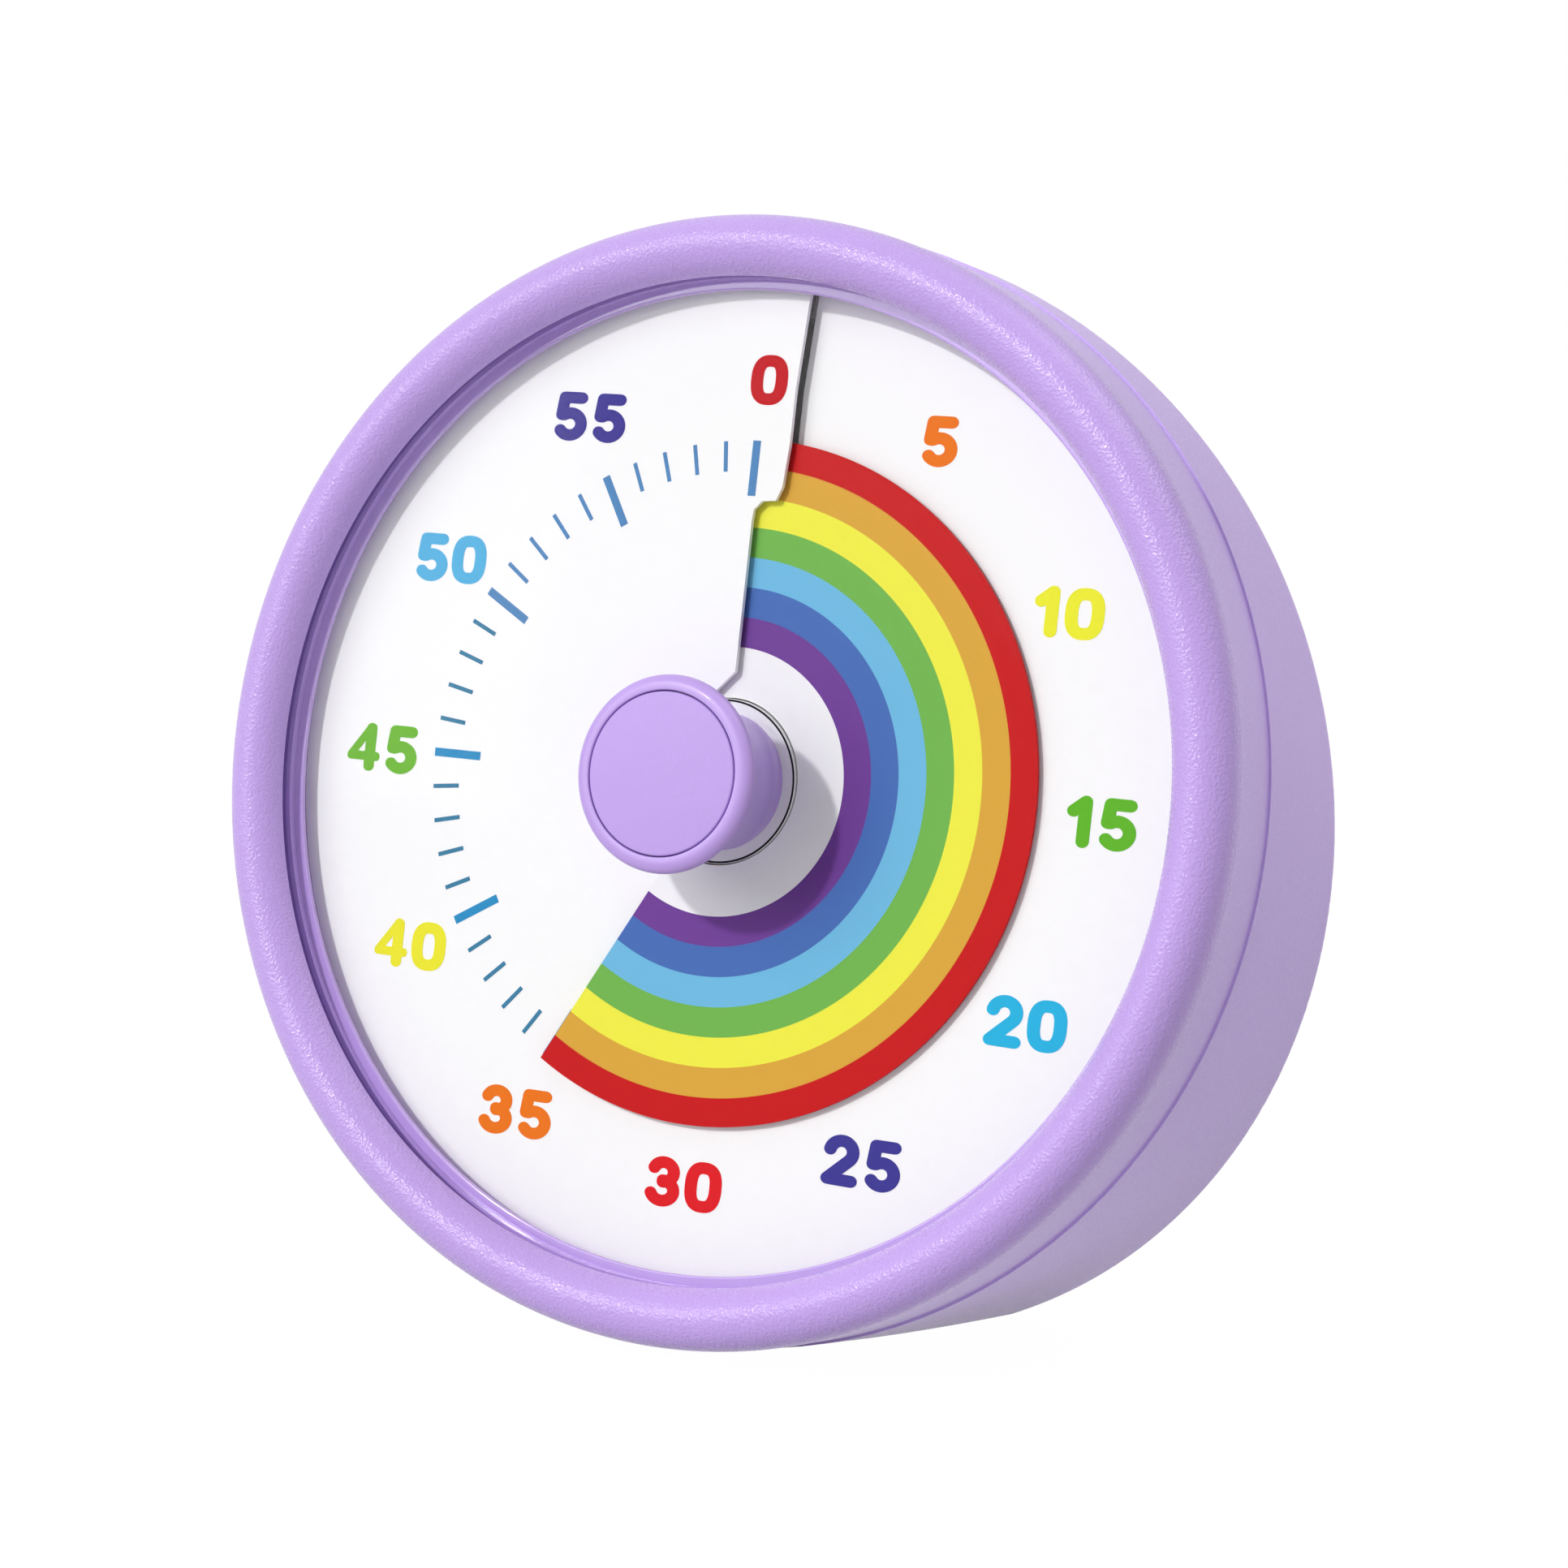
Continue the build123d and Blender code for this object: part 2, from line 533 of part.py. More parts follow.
def make_plate_pillars():
    pillars = []
    for at in PILLARS_AT:
        pillar = rod(PILLAR_R, BACK_PLATE_FRONT, FRONT_PLATE_BACK, at)
        pillar -= rod(SCREW_R + SCREW_CLEARANCE / 2, FRONT_PLATE_BACK - PILLAR_SCREW_DEPTH,
                      FRONT_PLATE_BACK + 1, at)
        pillar -= rod(SCREW_R + SCREW_CLEARANCE / 2, BACK_PLATE_FRONT - 1,
                      BACK_PLATE_FRONT + PILLAR_SCREW_DEPTH, at)
        pillars.append(pillar)
    return pillars


def make_carrier_screws():
    tip = FRONT_PLATE_BACK - PILLAR_SCREW_DEPTH + SCREW_TIP_GAP
    return [screw(CARRIER_FRONT, tip, at) for at in PILLARS_AT]


def make_plate_screws():
    tip = BACK_PLATE_FRONT + PILLAR_SCREW_DEPTH - SCREW_TIP_GAP
    return [screw(BACK_PLATE_BACK - SCREW_HEAD_T, tip, at) for at in PILLARS_AT]


def arbor(at, pinion_z=None, module=None, phase=0.0, pinion_length=1.0, radius=ARBOR_R):
    """Steel arbor with its two pivots, and its pinion where it has one."""
    piece = rod(radius, BACK_PLATE_FRONT + ARBOR_SHAKE, FRONT_PLATE_BACK - ARBOR_SHAKE, at)
    piece += rod(PIVOT_R, BACK_PLATE_BACK + PIVOT_SHORT, FRONT_PLATE_BACK + PLATE_T - PIVOT_SHORT, at)
    if pinion_z is not None:
        piece += gear(PINION_TEETH, module, pinion_z - pinion_length - PINION_OVERHANG,
                      pinion_length + 2 * PINION_OVERHANG, 0, at, phase)
    return piece


def pinion_phase(wheel_phase, wheel_teeth, direction):
    """Phase that puts a pinion's gap on the wheel tooth nearest to the line of centres."""
    step = 360 / wheel_teeth
    off = (direction - wheel_phase + step / 2) % step - step / 2
    return direction + 180 + 180 / PINION_TEETH + off * wheel_teeth / PINION_TEETH


def toothed_wheel(teeth, module, z, thickness, at, phase, bore, windows):
    wheel = gear(teeth, module, z - thickness, thickness, bore, at, phase)
    for cutter in wheel_windows(*windows, z - thickness, thickness, at):
        wheel -= cutter
    return wheel


def make_great_wheel():
    return toothed_wheel(GREAT_TEETH, GREAT_MODULE, GREAT_Z, GREAT_T, (0, 0), 0.0,
                         SPINDLE_MID_R + FIT / 2, GREAT_WINDOWS)


def make_second_wheel():
    return toothed_wheel(SECOND_TEETH, SECOND_MODULE, SECOND_Z, WHEEL_T, SECOND_AT, 0.0,
                         ARBOR_R + FIT / 2, SECOND_WINDOWS)


def make_third_wheel():
    return toothed_wheel(THIRD_TEETH, THIRD_MODULE, THIRD_Z, WHEEL_T, THIRD_AT, 0.0,
                         ARBOR_R + FIT / 2, THIRD_WINDOWS)


def make_second_pinion():
    return arbor(SECOND_AT, GREAT_Z, GREAT_MODULE,
                 pinion_phase(0, GREAT_TEETH, SECOND_ARBOR_AT), GREAT_T)


def make_third_pinion():
    return arbor(THIRD_AT, SECOND_Z, SECOND_MODULE,
                 pinion_phase(0, SECOND_TEETH, THIRD_ARBOR_AT), WHEEL_T)


def make_escape_pinion():
    return arbor(ESCAPE_AT, THIRD_Z, THIRD_MODULE,
                 pinion_phase(0, THIRD_TEETH, ESCAPE_ARBOR_AT), WHEEL_T)


def make_escape_wheel():
    outline = []
    for i in range(ESCAPE_TEETH):
        a = 360 * i / ESCAPE_TEETH
        outline += [polar(ESCAPE_R - ESCAPE_TOOTH, a - 2), polar(ESCAPE_R, a + 9),
                    polar(ESCAPE_R - ESCAPE_TOOTH / 10, a + 11)]
    wheel = extrude(make_face(Polyline(*outline, close=True)), amount=WHEEL_T)
    wheel -= rod(ARBOR_R + FIT / 2, -1, WHEEL_T + 1)
    return Pos(ESCAPE_AT[0], ESCAPE_AT[1], ESCAPE_Z - WHEEL_T) * wheel


def make_pallet_lever():
    """Flat lever with two pallet pins astride the escape wheel and a forked tail."""
    plate_low = ESCAPE_Z - WHEEL_T - PALLET_T - 0.05
    lever = arbor(PALLET_AT, radius=STAFF_R)
    pins = [polar(PALLET_PIN_AT, PALLET_ARBOR_AT + side * PALLET_PIN_ANGLE, ESCAPE_AT) for side in (-1, 1)]
    arms = None
    for pin in pins:
        arm = link_bar(PALLET_AT, pin, PALLET_ARM_W, plate_low, PALLET_T)
        arms = arm if arms is None else arms + arm
    fork_end = polar(FORK_REACH, BALANCE_ARBOR_AT, PALLET_AT)
    arms += link_bar(PALLET_AT, fork_end, FORK_W, plate_low, PALLET_T)
    slot_depth, slot_w = FORK_SLOT
    arms -= link_bar(polar(FORK_REACH - slot_depth, BALANCE_ARBOR_AT, PALLET_AT),
                     polar(FORK_REACH + 2 * FORK_W, BALANCE_ARBOR_AT, PALLET_AT), slot_w,
                     plate_low - 1, PALLET_T + 2)
    lever += arms
    for pin in pins:
        lever += rod(PALLET_PIN_R, plate_low, ESCAPE_Z + 0.1, pin)
    return lever


def link_bar(start, end, width, low, thickness):
    """Flat bar with round ends between two points."""
    length = math.dist(start, end)
    middle = ((start[0] + end[0]) / 2, (start[1] + end[1]) / 2)
    turn = math.degrees(math.atan2(end[1] - start[1], end[0] - start[0]))
    bar = extrude(SlotOverall(length + width, width), amount=thickness)
    return Pos(middle[0], middle[1], low) * Rot(0, 0, turn) * bar


def make_balance_wheel():
    """Rim, two arms, staff and roller with its impulse pin."""
    z = BALANCE_Z
    arm = Box(2 * BALANCE_R - BALANCE_RIM_W, BALANCE_ARM_W, WHEEL_T)
    wheel = tube(BALANCE_R, BALANCE_R - BALANCE_RIM_W, z - WHEEL_T, z, BALANCE_AT)
    wheel += Pos(BALANCE_AT[0], BALANCE_AT[1], z - WHEEL_T / 2) * arm
    wheel += arbor(BALANCE_AT, radius=STAFF_R)
    roller_z = ESCAPE_Z + 0.1
    wheel += rod(ROLLER_R, roller_z - ROLLER_T, roller_z, BALANCE_AT)
    pin_reach = BALANCE_DISTANCE - FORK_REACH - IMPULSE_PIN_IN
    pin_at = polar(pin_reach, BALANCE_ARBOR_AT + 180, BALANCE_AT)
    wheel += rod(IMPULSE_PIN_R, ESCAPE_Z - WHEEL_T - PALLET_T - 0.05, roller_z, pin_at)
    return wheel


def make_hairspring():
    z = BALANCE_Z + HAIRSPRING_OVER
    return spiral_strip(*HAIRSPRING_R, 3, HAIRSPRING_STRIP, z - HAIRSPRING_W, z, BALANCE_AT)


def make_mainspring_barrel():
    low, high = BACK_PLATE_FRONT, BALANCE_Z
    cup = rod(BARREL_R, low, high) - rod(BARREL_R - BARREL_WALL, low + BARREL_WALL, high + 1)
    return cup - rod(SPINDLE_MID_R + BARREL_BORE_GAP, low - 1, high)


def make_mainspring():
    low = BACK_PLATE_FRONT + BARREL_WALL + SPRING_GAP
    outer = BARREL_R - BARREL_WALL - SPRING_STRIP - SPRING_GAP
    return spiral_strip(SPINDLE_MID_R + SPRING_INNER_GAP, outer, SPRING_TURNS, SPRING_STRIP,
                        low, THIRD_Z - SPRING_GAP, (0, 0))


def make_friction_spring():
    """Dished washer that lets the knob slip past the train."""
    top = GREAT_Z - GREAT_T
    bore, dished = SPINDLE_MID_R + FIT / 2, top - FRICTION_SPRING_DISH
    return turned(Polyline((bore, dished - FRICTION_SPRING_T), (FRICTION_SPRING_R, top - FRICTION_SPRING_T),
                           (FRICTION_SPRING_R, top), (bore, dished), close=True))


def make_spindle_clip():
    z = BACK_PLATE_BACK - SPINDLE_TAIL + CLIP_FROM_END
    return tube(CLIP_R, SPINDLE_PIVOT_R + FIT / 2, z - CLIP_T, z)


# ---- strike work behind the back plate --------------------------------------------------------
def make_alarm_cam():
    """Round cam with the notch that drops the hammer at zero."""
    high = BACK_PLATE_BACK - STRIKE_GAP
    cam = tube(CAM_R, SPINDLE_PIVOT_R + FIT / 2, high - CAM_T, high)
    return cam - Rot(0, 0, CAM_NOTCH_AT) * Pos(CAM_R, 0, high) * Box(*CAM_NOTCH, 3 * CAM_T)


def make_gong():
    """Shallow struck bell, open towards the back plate."""
    high = BACK_PLATE_BACK - GONG_GAP
    low = high - GONG_DEPTH
    w, corner = GONG_WALL, GONG_CORNER
    bell = turned(
        Line((GONG_POST_R + FIT, low), (GONG_R - corner, low)),
        JernArc((GONG_R - corner, low), (1, 0), corner, 90),
        Polyline((GONG_R, low + corner), (GONG_R, high), (GONG_R - w, high), (GONG_R - w, low + corner)),
        JernArc((GONG_R - w, low + corner), (0, -1), corner - w, -90),
        Polyline((GONG_R - corner, low + w), (GONG_POST_R + FIT, low + w), (GONG_POST_R + FIT, low)),
    )
    return Pos(GONG_AT[0], GONG_AT[1], 0) * bell


def make_gong_post():
    """Stepped stand-off that carries the gong."""
    low = BACK_PLATE_BACK - GONG_GAP - GONG_DEPTH
    post = rod(GONG_POST_R + GONG_POST_FLANGE, low + GONG_WALL, BACK_PLATE_BACK, GONG_AT)
    post += rod(GONG_POST_R, low, BACK_PLATE_BACK, GONG_AT)
    return post - rod(SCREW_R + FIT, low - 1, low + GONG_SCREW_DEPTH + SCREW_TIP_GAP, GONG_AT)


def make_gong_screw():
    low = BACK_PLATE_BACK - GONG_GAP - GONG_DEPTH
    head = rod(GONG_SCREW_R, low - SCREW_HEAD_T, low, GONG_AT)
    shank = rod(SCREW_R, low - SCREW_HEAD_T, low + GONG_SCREW_DEPTH, GONG_AT)
    slot = Box(3 * GONG_SCREW_R, SCREW_SLOT[0], 2 * SCREW_SLOT[1])
    return head + shank - Pos(GONG_AT[0], GONG_AT[1], low - SCREW_HEAD_T) * slot


def make_hammer():
    """Flat lever in front of the gong's rim, with a head folded into the gong."""
    t, high = HAMMER_T, BACK_PLATE_BACK - STRIKE_GAP
    head_r, head_reach = HAMMER_HEAD
    lever = link_bar(HAMMER_AT, HAMMER_HEAD_AT, HAMMER_ARM_W, high - t, t)
    lever += link_bar(HAMMER_AT, HAMMER_TAIL_AT, HAMMER_TAIL_W, high - t, t)
    lever += rod(head_r, high - t - head_reach, high, HAMMER_HEAD_AT)
    lever += rod(HAMMER_HUB_R, high - t, high, HAMMER_AT)
    return lever - rod(PIVOT_R + FIT, high - 2 * t, high + t, HAMMER_AT)


def make_hammer_stud():
    return rod(PIVOT_R, BACK_PLATE_BACK - STUD_LENGTH, BACK_PLATE_BACK, HAMMER_AT)


# ---- assembly -------------------------------------------------------------------------------
PIECES = {
    "front_bezel": make_front_bezel,
    "rear_shell": make_rear_shell,
    "case_screws": make_case_screws,
    "back_magnets": make_back_magnets,
    "front_lens": make_front_lens,
    "trim_ring": make_trim_ring,
    "movement_carrier": make_carrier,
    "dial_plate": make_dial_plate,
    "dial_seat": make_dial_seat,
    "rainbow_disc": make_rainbow_disc,
    "disc_hub": make_disc_hub,
    "knob": make_knob,
    "knob_cap": make_knob_cap,
    "spindle": make_spindle,
    "front_plate": make_front_plate,
    "back_plate": make_back_plate,
    "plate_pillars": make_plate_pillars,
    "carrier_screws": make_carrier_screws,
    "plate_screws": make_plate_screws,
    "great_wheel": make_great_wheel,
    "friction_spring": make_friction_spring,
    "second_wheel": make_second_wheel,
    "second_pinion": make_second_pinion,
    "third_wheel": make_third_wheel,
    "third_pinion": make_third_pinion,
    "escape_wheel": make_escape_wheel,
    "escape_pinion": make_escape_pinion,
    "pallet_lever": make_pallet_lever,
    "balance_wheel": make_balance_wheel,
    "hairspring": make_hairspring,
    "mainspring_barrel": make_mainspring_barrel,
    "mainspring": make_mainspring,
    "spindle_clip": make_spindle_clip,
    "alarm_cam": make_alarm_cam,
    "gong": make_gong,
    "gong_post": make_gong_post,
    "gong_screw": make_gong_screw,
    "hammer": make_hammer,
    "hammer_stud": make_hammer_stud,
}


def solids_of(made):
    """Every separate solid of a maker's result."""
    group = made if isinstance(made, list) else [made]
    return [solid for item in group for solid in item.solids()]


def main():
    os.makedirs("parts", exist_ok=True)
    posture = Plane(origin=(0, 0, AXIS_HEIGHT), x_dir=(1, 0, 0), z_dir=(0, -math.cos(lean), math.sin(lean)))
    for name, make in PIECES.items():
        solids = [posture.location * solid for solid in solids_of(make())]
        shape = solids[0] if len(solids) == 1 else Compound(solids)
        export_step(shape, f"parts/{name}.step")


main()
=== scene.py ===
import json
import math

import bmesh
import bpy
from mathutils import Matrix, Vector, geometry


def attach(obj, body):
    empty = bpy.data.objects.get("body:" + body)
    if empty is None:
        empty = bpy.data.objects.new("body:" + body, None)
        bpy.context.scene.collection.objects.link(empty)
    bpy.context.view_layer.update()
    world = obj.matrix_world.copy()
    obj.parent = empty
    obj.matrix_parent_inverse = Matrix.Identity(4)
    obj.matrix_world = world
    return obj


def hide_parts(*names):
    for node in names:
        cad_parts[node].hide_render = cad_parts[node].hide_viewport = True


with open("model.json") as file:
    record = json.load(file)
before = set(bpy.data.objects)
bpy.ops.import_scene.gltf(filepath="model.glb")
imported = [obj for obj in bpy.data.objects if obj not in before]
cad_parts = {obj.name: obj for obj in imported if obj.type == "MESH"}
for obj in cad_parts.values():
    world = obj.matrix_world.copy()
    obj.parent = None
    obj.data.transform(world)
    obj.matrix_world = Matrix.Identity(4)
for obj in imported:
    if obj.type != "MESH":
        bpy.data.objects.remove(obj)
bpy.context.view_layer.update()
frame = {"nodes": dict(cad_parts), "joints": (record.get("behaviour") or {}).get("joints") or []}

# The timer's own axes, used for every piece below: x right, y up the dial, z out of the dial
# towards the reader, in millimetres, with the origin where the winding axis meets the dial.
MM = 0.001
winding = next(joint for joint in frame["joints"] if joint["name"] == "winding")
DIAL_CENTRE = Vector(winding["pos_m"])
OUT = -Vector(winding["axis"]).normalized()
RIGHT = Vector((1, 0, 0))
UP = OUT.cross(RIGHT).normalized()
TURN = Matrix((RIGHT, UP, OUT)).transposed().to_4x4()
TIMER = Matrix.Translation(DIAL_CENTRE) @ TURN @ Matrix.Scale(MM, 4)

# ---- sizes of the timer, in millimetres ---------------------------------------------------------
PART_LINE = -3.5
ROLL_HALF_W = 2.5
ROLL_H = 2.85
ROLL_MIDDLE_R = 41.7
ROLL_Z = 2.8
SKIRT_R = 44.1
SKIRT_INNER_R = 42.3
BEZEL_WEB_Z = -0.6
LENS_SEAT_R = 40.15
LENS_R = 40.05
LENS_TOP = 3.6
LENS_BOTTOM = 2.5
LENS_HOLE_R = 6.2
LENS_EDGE_CUT = 0.25
LENS_SHADE_R = 39.75         # beyond it the window is dark purple, painted shade under the lip of the bezel
LENS_GAP = 0.02             # between the window and the ring under it
TRIM_RING_R = 39.35
TRIM_LIP_R = 38.5           # thin lip of the ring over the edge of the dial
TRIM_LIP_Z = 1.85
TRIM_LIP_T = 0.35
TRIM_LIP_ROUND = 0.15
TRIM_LOW = -1.5
SCREW_RISE = 1.4
DIAL_R = 39.25
DIAL_BORE_R = 6.8
DIAL_T = 0.4
DIAL_ROWS = (10.0, 14.0, 18.0, 29.0, 35.0)     # radii that only split the sheet into rows of faces
DISC_BORE_R = 6.6
DISC_T = 0.3
DISC_DROP = 0.05
DISC_LEAD = 210.0
RING_RADII = (10.61, 12.97, 15.33, 17.69, 20.04, 22.40, 24.76, 27.0)
HUB_R = 6.5
HUB_TOP = 0.5
HUB_LOW = -2.2
HUB_EDGE_CUT = 0.05
HUB_LINE_W = 0.16           # dark line round the hub, and how far in, sunk and proud it is
HUB_LINE_INSET = 0.06
HUB_LINE_SUNK = 0.02
HUB_LINE_PROUD = 0.015
KNOB_R = 7.65
KNOB_NECK_R = 5.4
KNOB_NECK_HEIGHTS = (0.1, 1.6)      # the neck is straight between these heights over the hub
KNOB_NECK_FLARE = (0.55, 4.4)       # out from the neck, up from the hub
KNOB_RIM_FLARE = (0.65, 1.6)        # in from the rim, down from its widest height
KNOB_CURVE_STEPS = 10
KNOB_TOP = 10.2
KNOB_RIM_R = 0.9
CAP_R = 6.3
CAP_T = 0.9
CAP_ROUND = 0.14
CAP_GROOVE = 0.10
CAP_GROOVE_ROUND = 0.12
SLIT_LINE = (               # corners of the slit in the dial, (x, y), from the rim to the bore
    (3.45, 40.5), (2.9, 31.0), (2.9, 26.6), (2.67, 23.3), (2.2, 22.2),
    (1.0, 22.1), (0.35, 21.4), (0.27, 20.5), (0.27, 8.64), (-1.38, 6.9), (-1.38, 5.0),
)
SLIT_HALVINGS = 40          # each halves the error of the slit's angle at a radius
INK = 0.03                  # the printed marks stand this proud of the dial

# ---- dial print, in millimetres -----------------------------------------------------------------
TICK_LONG = (22.45, 26.8, 0.68)      # inner and outer radius and width, every fifth minute
TICK_SHORT = (24.35, 26.75, 0.34)
TICK_RUNS = 4                        # a mark's runs along its length
NO_TICK = 1                          # this minute's mark would lie on the flap's stepped edge
LOWER_MINUTES = range(10, 50)        # the marks of these minutes are of other blues
DIGIT_HEIGHT = 3.95

# ---- digits, in shares of their height ----------------------------------------------------------
PEN = (0.275, 0.235)                 # the pen's width and height
PEN_OF_STEM = (0.255, 0.215)         # the 4 has a stem of its own and a thinner slant and bar
PEN_OF_SLANT = (0.165, 0.185)
OVAL_POWER = 2.7                     # how square the 0 is; 2 is a true ellipse
DIGIT_WIDTH = 0.80
ONE_WIDTH = 0.56
DIGIT_SPACE = 0.11
CAP_STEPS = 8                        # steps of the round end that the pen gives a stroke
SNAP = 0.001                         # corners of strokes closer than this are one

# ---- colours, linear ----------------------------------------------------------------------------
LAVENDER = (0.515, 0.350, 0.775)
LAVENDER_DRUM = (0.575, 0.415, 0.830)
LAVENDER_KNOB = (0.490, 0.330, 0.760)
RAINBOW = (
    ("white", (0.86, 0.86, 0.86)),
    ("purple", (0.150, 0.047, 0.283)),
    ("blue", (0.060, 0.144, 0.434)),
    ("light_blue", (0.150, 0.462, 0.701)),
    ("green", (0.156, 0.434, 0.073)),
    ("yellow", (0.820, 0.800, 0.060)),
    ("orange", (0.665, 0.361, 0.044)),
    ("red", (0.545, 0.006, 0.008)),
)
NUMBERS = (               # text, radius and clockwise angle of its middle, ink
    ("0", 31.6, 0.9, (0.521, 0.010, 0.016)),
    ("5", 31.6, 28.8, (0.800, 0.170, 0.008)),
    ("10", 31.6, 61.0, (0.800, 0.800, 0.030)),
    ("15", 32.2, 90.4, (0.110, 0.440, 0.020)),
    ("20", 32.0, 119.6, (0.020, 0.430, 0.700)),
    ("25", 32.0, 151.1, (0.046, 0.040, 0.270)),
    ("30", 31.7, 179.6, (0.700, 0.010, 0.016)),
    ("35", 32.1, 209.2, (0.800, 0.170, 0.008)),
    ("40", 31.5, 239.9, (0.800, 0.760, 0.030)),
    ("45", 31.9, 269.7, (0.148, 0.450, 0.030)),
    ("50", 31.5, 300.0, (0.080, 0.420, 0.700)),
    ("55", 31.9, 330.9, (0.050, 0.040, 0.270)),
)


# ---- materials ----------------------------------------------------------------------------------
DRIFT_SCALE = 45.0          # noise scales, in cells per metre
WINDOW_SCALE = 120.0
HAZE_SCALE = 260.0
FINE_SCALE = 900.0
GRAIN_SCALE = 4200.0
GRAIN_DEPTH = 0.00008       # metres
COAT_ROUGHNESS = 0.08
PRINT_SPECULAR = 0.08       # ink hardly shines
WINDOW_POWER = 4.0          # how late the window's gloss grows towards a grazing look
WINDOW_ALPHA = (0.0006, 0.6)
NOISE_SPAN = (0.3, 0.7)     # nearly all of a noise lies in this span
MOTTLE_AND_GLINT_SPAN = (0.52, 0.72)   # the brighter grains, painted lighter in the colour: painted sparkle, and the ferrite's own mottle


def new_material(name):
    """Material with a Principled shader; returns it with its node tree and that shader."""
    mat = bpy.data.materials.new(name)
    mat.use_nodes = True
    tree = mat.node_tree
    return mat, tree, tree.nodes["Principled BSDF"]


def object_noise(tree, scale, detail=2.0, stretch=None):
    """Noise in the object's own axes, stretched where a scale for each axis is given."""
    coords = tree.nodes.new("ShaderNodeTexCoord")
    noise = tree.nodes.new("ShaderNodeTexNoise")
    noise.inputs["Scale"].default_value = scale
    noise.inputs["Detail"].default_value = detail
    place = coords.outputs["Object"]
    if stretch:
        mapping = tree.nodes.new("ShaderNodeMapping")
        mapping.inputs["Scale"].default_value = stretch
        tree.links.new(place, mapping.inputs["Vector"])
        place = mapping.outputs["Vector"]
    tree.links.new(place, noise.inputs["Vector"])
    return noise


def ramp_between(tree, source, low, high, low_value, high_value):
    """Map Range from one span of a value to another."""
    node = tree.nodes.new("ShaderNodeMapRange")
    node.inputs["From Min"].default_value = low
    node.inputs["From Max"].default_value = high
    node.inputs["To Min"].default_value = low_value
    node.inputs["To Max"].default_value = high_value
    tree.links.new(source, node.inputs["Value"])
    return node.outputs["Result"]


def mix_colours(tree, factor, first, second):
    """Colour between two, each given as a tuple or as the output of another node."""
    node = tree.nodes.new("ShaderNodeMix")
    node.data_type = "RGBA"
    tree.links.new(factor, node.inputs["Factor"])
    for side, colour in (("A", first), ("B", second)):
        if isinstance(colour, tuple):
            node.inputs[side].default_value = (*colour, 1)
        else:
            tree.links.new(colour, node.inputs[side])
    return node.outputs["Result"]


def add_bump(tree, shader, source, strength, distance):
    bump = tree.nodes.new("ShaderNodeBump")
    bump.inputs["Strength"].default_value = strength
    bump.inputs["Distance"].default_value = distance
    tree.links.new(source, bump.inputs["Height"])
    tree.links.new(bump.outputs["Normal"], shader.inputs["Normal"])


def shade(colour, factor):
    """Lighter or darker shade of a colour."""
    return tuple(min(1.0, c * factor) for c in colour)


def noise_ramp(tree, noise, low_value, high_value, span=NOISE_SPAN):
    """A noise whose usual span is spread between two values."""
    return ramp_between(tree, noise.outputs["Fac"], *span, low_value, high_value)


def vary_colour(tree, shader, factor, colour, dark, light):
    """Base colour that a factor moves between two shades of itself."""
    tree.links.new(mix_colours(tree, factor, shade(colour, dark), shade(colour, light)),
                   shader.inputs["Base Color"])


def vary_roughness(tree, shader, noise, low_value, high_value):
    """Roughness that a noise moves between two values."""
    tree.links.new(noise_ramp(tree, noise, low_value, high_value), shader.inputs["Roughness"])


def textured_plastic(name, colour, grain=GRAIN_SCALE, mottle_and_painted_sparkle=0.06, roughness=0.26, bump=1.0,
                     specular=0.35):
    """Moulded plastic with a fine spark-eroded grain and slow colour drift; its brighter grains are painted
    lighter, painted sparkle on the plastics and the ferrite's own mottle.
    """
    mat, tree, shader = new_material(name)
    drift = object_noise(tree, DRIFT_SCALE)
    fine = object_noise(tree, grain, detail=1.0)
    base = mix_colours(tree, noise_ramp(tree, drift, 0, 1), shade(colour, 0.97), shade(colour, 1.03))
    # painted sparkle: the brighter grains are lighter in the base colour, which on the ferrite is its own
    # mottle
    mottle_and_painted_glint = noise_ramp(tree, fine, 0, 1, span=MOTTLE_AND_GLINT_SPAN)
    tree.links.new(mix_colours(tree, mottle_and_painted_glint, base, shade(colour, 1.0 + mottle_and_painted_sparkle)),
                   shader.inputs["Base Color"])
    vary_roughness(tree, shader, fine, roughness + 0.08, roughness - 0.10)
    add_bump(tree, shader, fine.outputs["Fac"], bump, GRAIN_DEPTH)
    shader.inputs["Specular IOR Level"].default_value = specular
    return mat


def smooth_plastic(name, colour, roughness, coat):
    """Polished moulding: nearly even colour, faint haze."""
    mat, tree, shader = new_material(name)
    haze = object_noise(tree, HAZE_SCALE)
    vary_colour(tree, shader, haze.outputs["Fac"], colour, 0.97, 1.03)
    vary_roughness(tree, shader, haze, roughness - 0.03, roughness + 0.05)
    shader.inputs["Coat Weight"].default_value = coat
    shader.inputs["Coat Roughness"].default_value = COAT_ROUGHNESS
    return mat


def printed(name, colour, roughness=0.5):
    """Printed sheet: flat ink with a faint screen grain."""
    mat, tree, shader = new_material(name)
    grain = object_noise(tree, FINE_SCALE)
    vary_colour(tree, shader, grain.outputs["Fac"], colour, 0.985, 1.015)
    vary_roughness(tree, shader, grain, roughness - 0.05, roughness + 0.05)
    shader.inputs["Specular IOR Level"].default_value = PRINT_SPECULAR
    return mat


def metal(name, colour, roughness, brushed=(1.0, 1.0, 1.0)):
    """Metal with fine marks, which brushed stretches by a scale for each axis."""
    mat, tree, shader = new_material(name)
    noise = object_noise(tree, FINE_SCALE, stretch=brushed)
    vary_colour(tree, shader, noise.outputs["Fac"], colour, 0.88, 1.08)
    vary_roughness(tree, shader, noise, roughness - 0.06, roughness + 0.10)
    shader.inputs["Metallic"].default_value = 1.0
    return mat


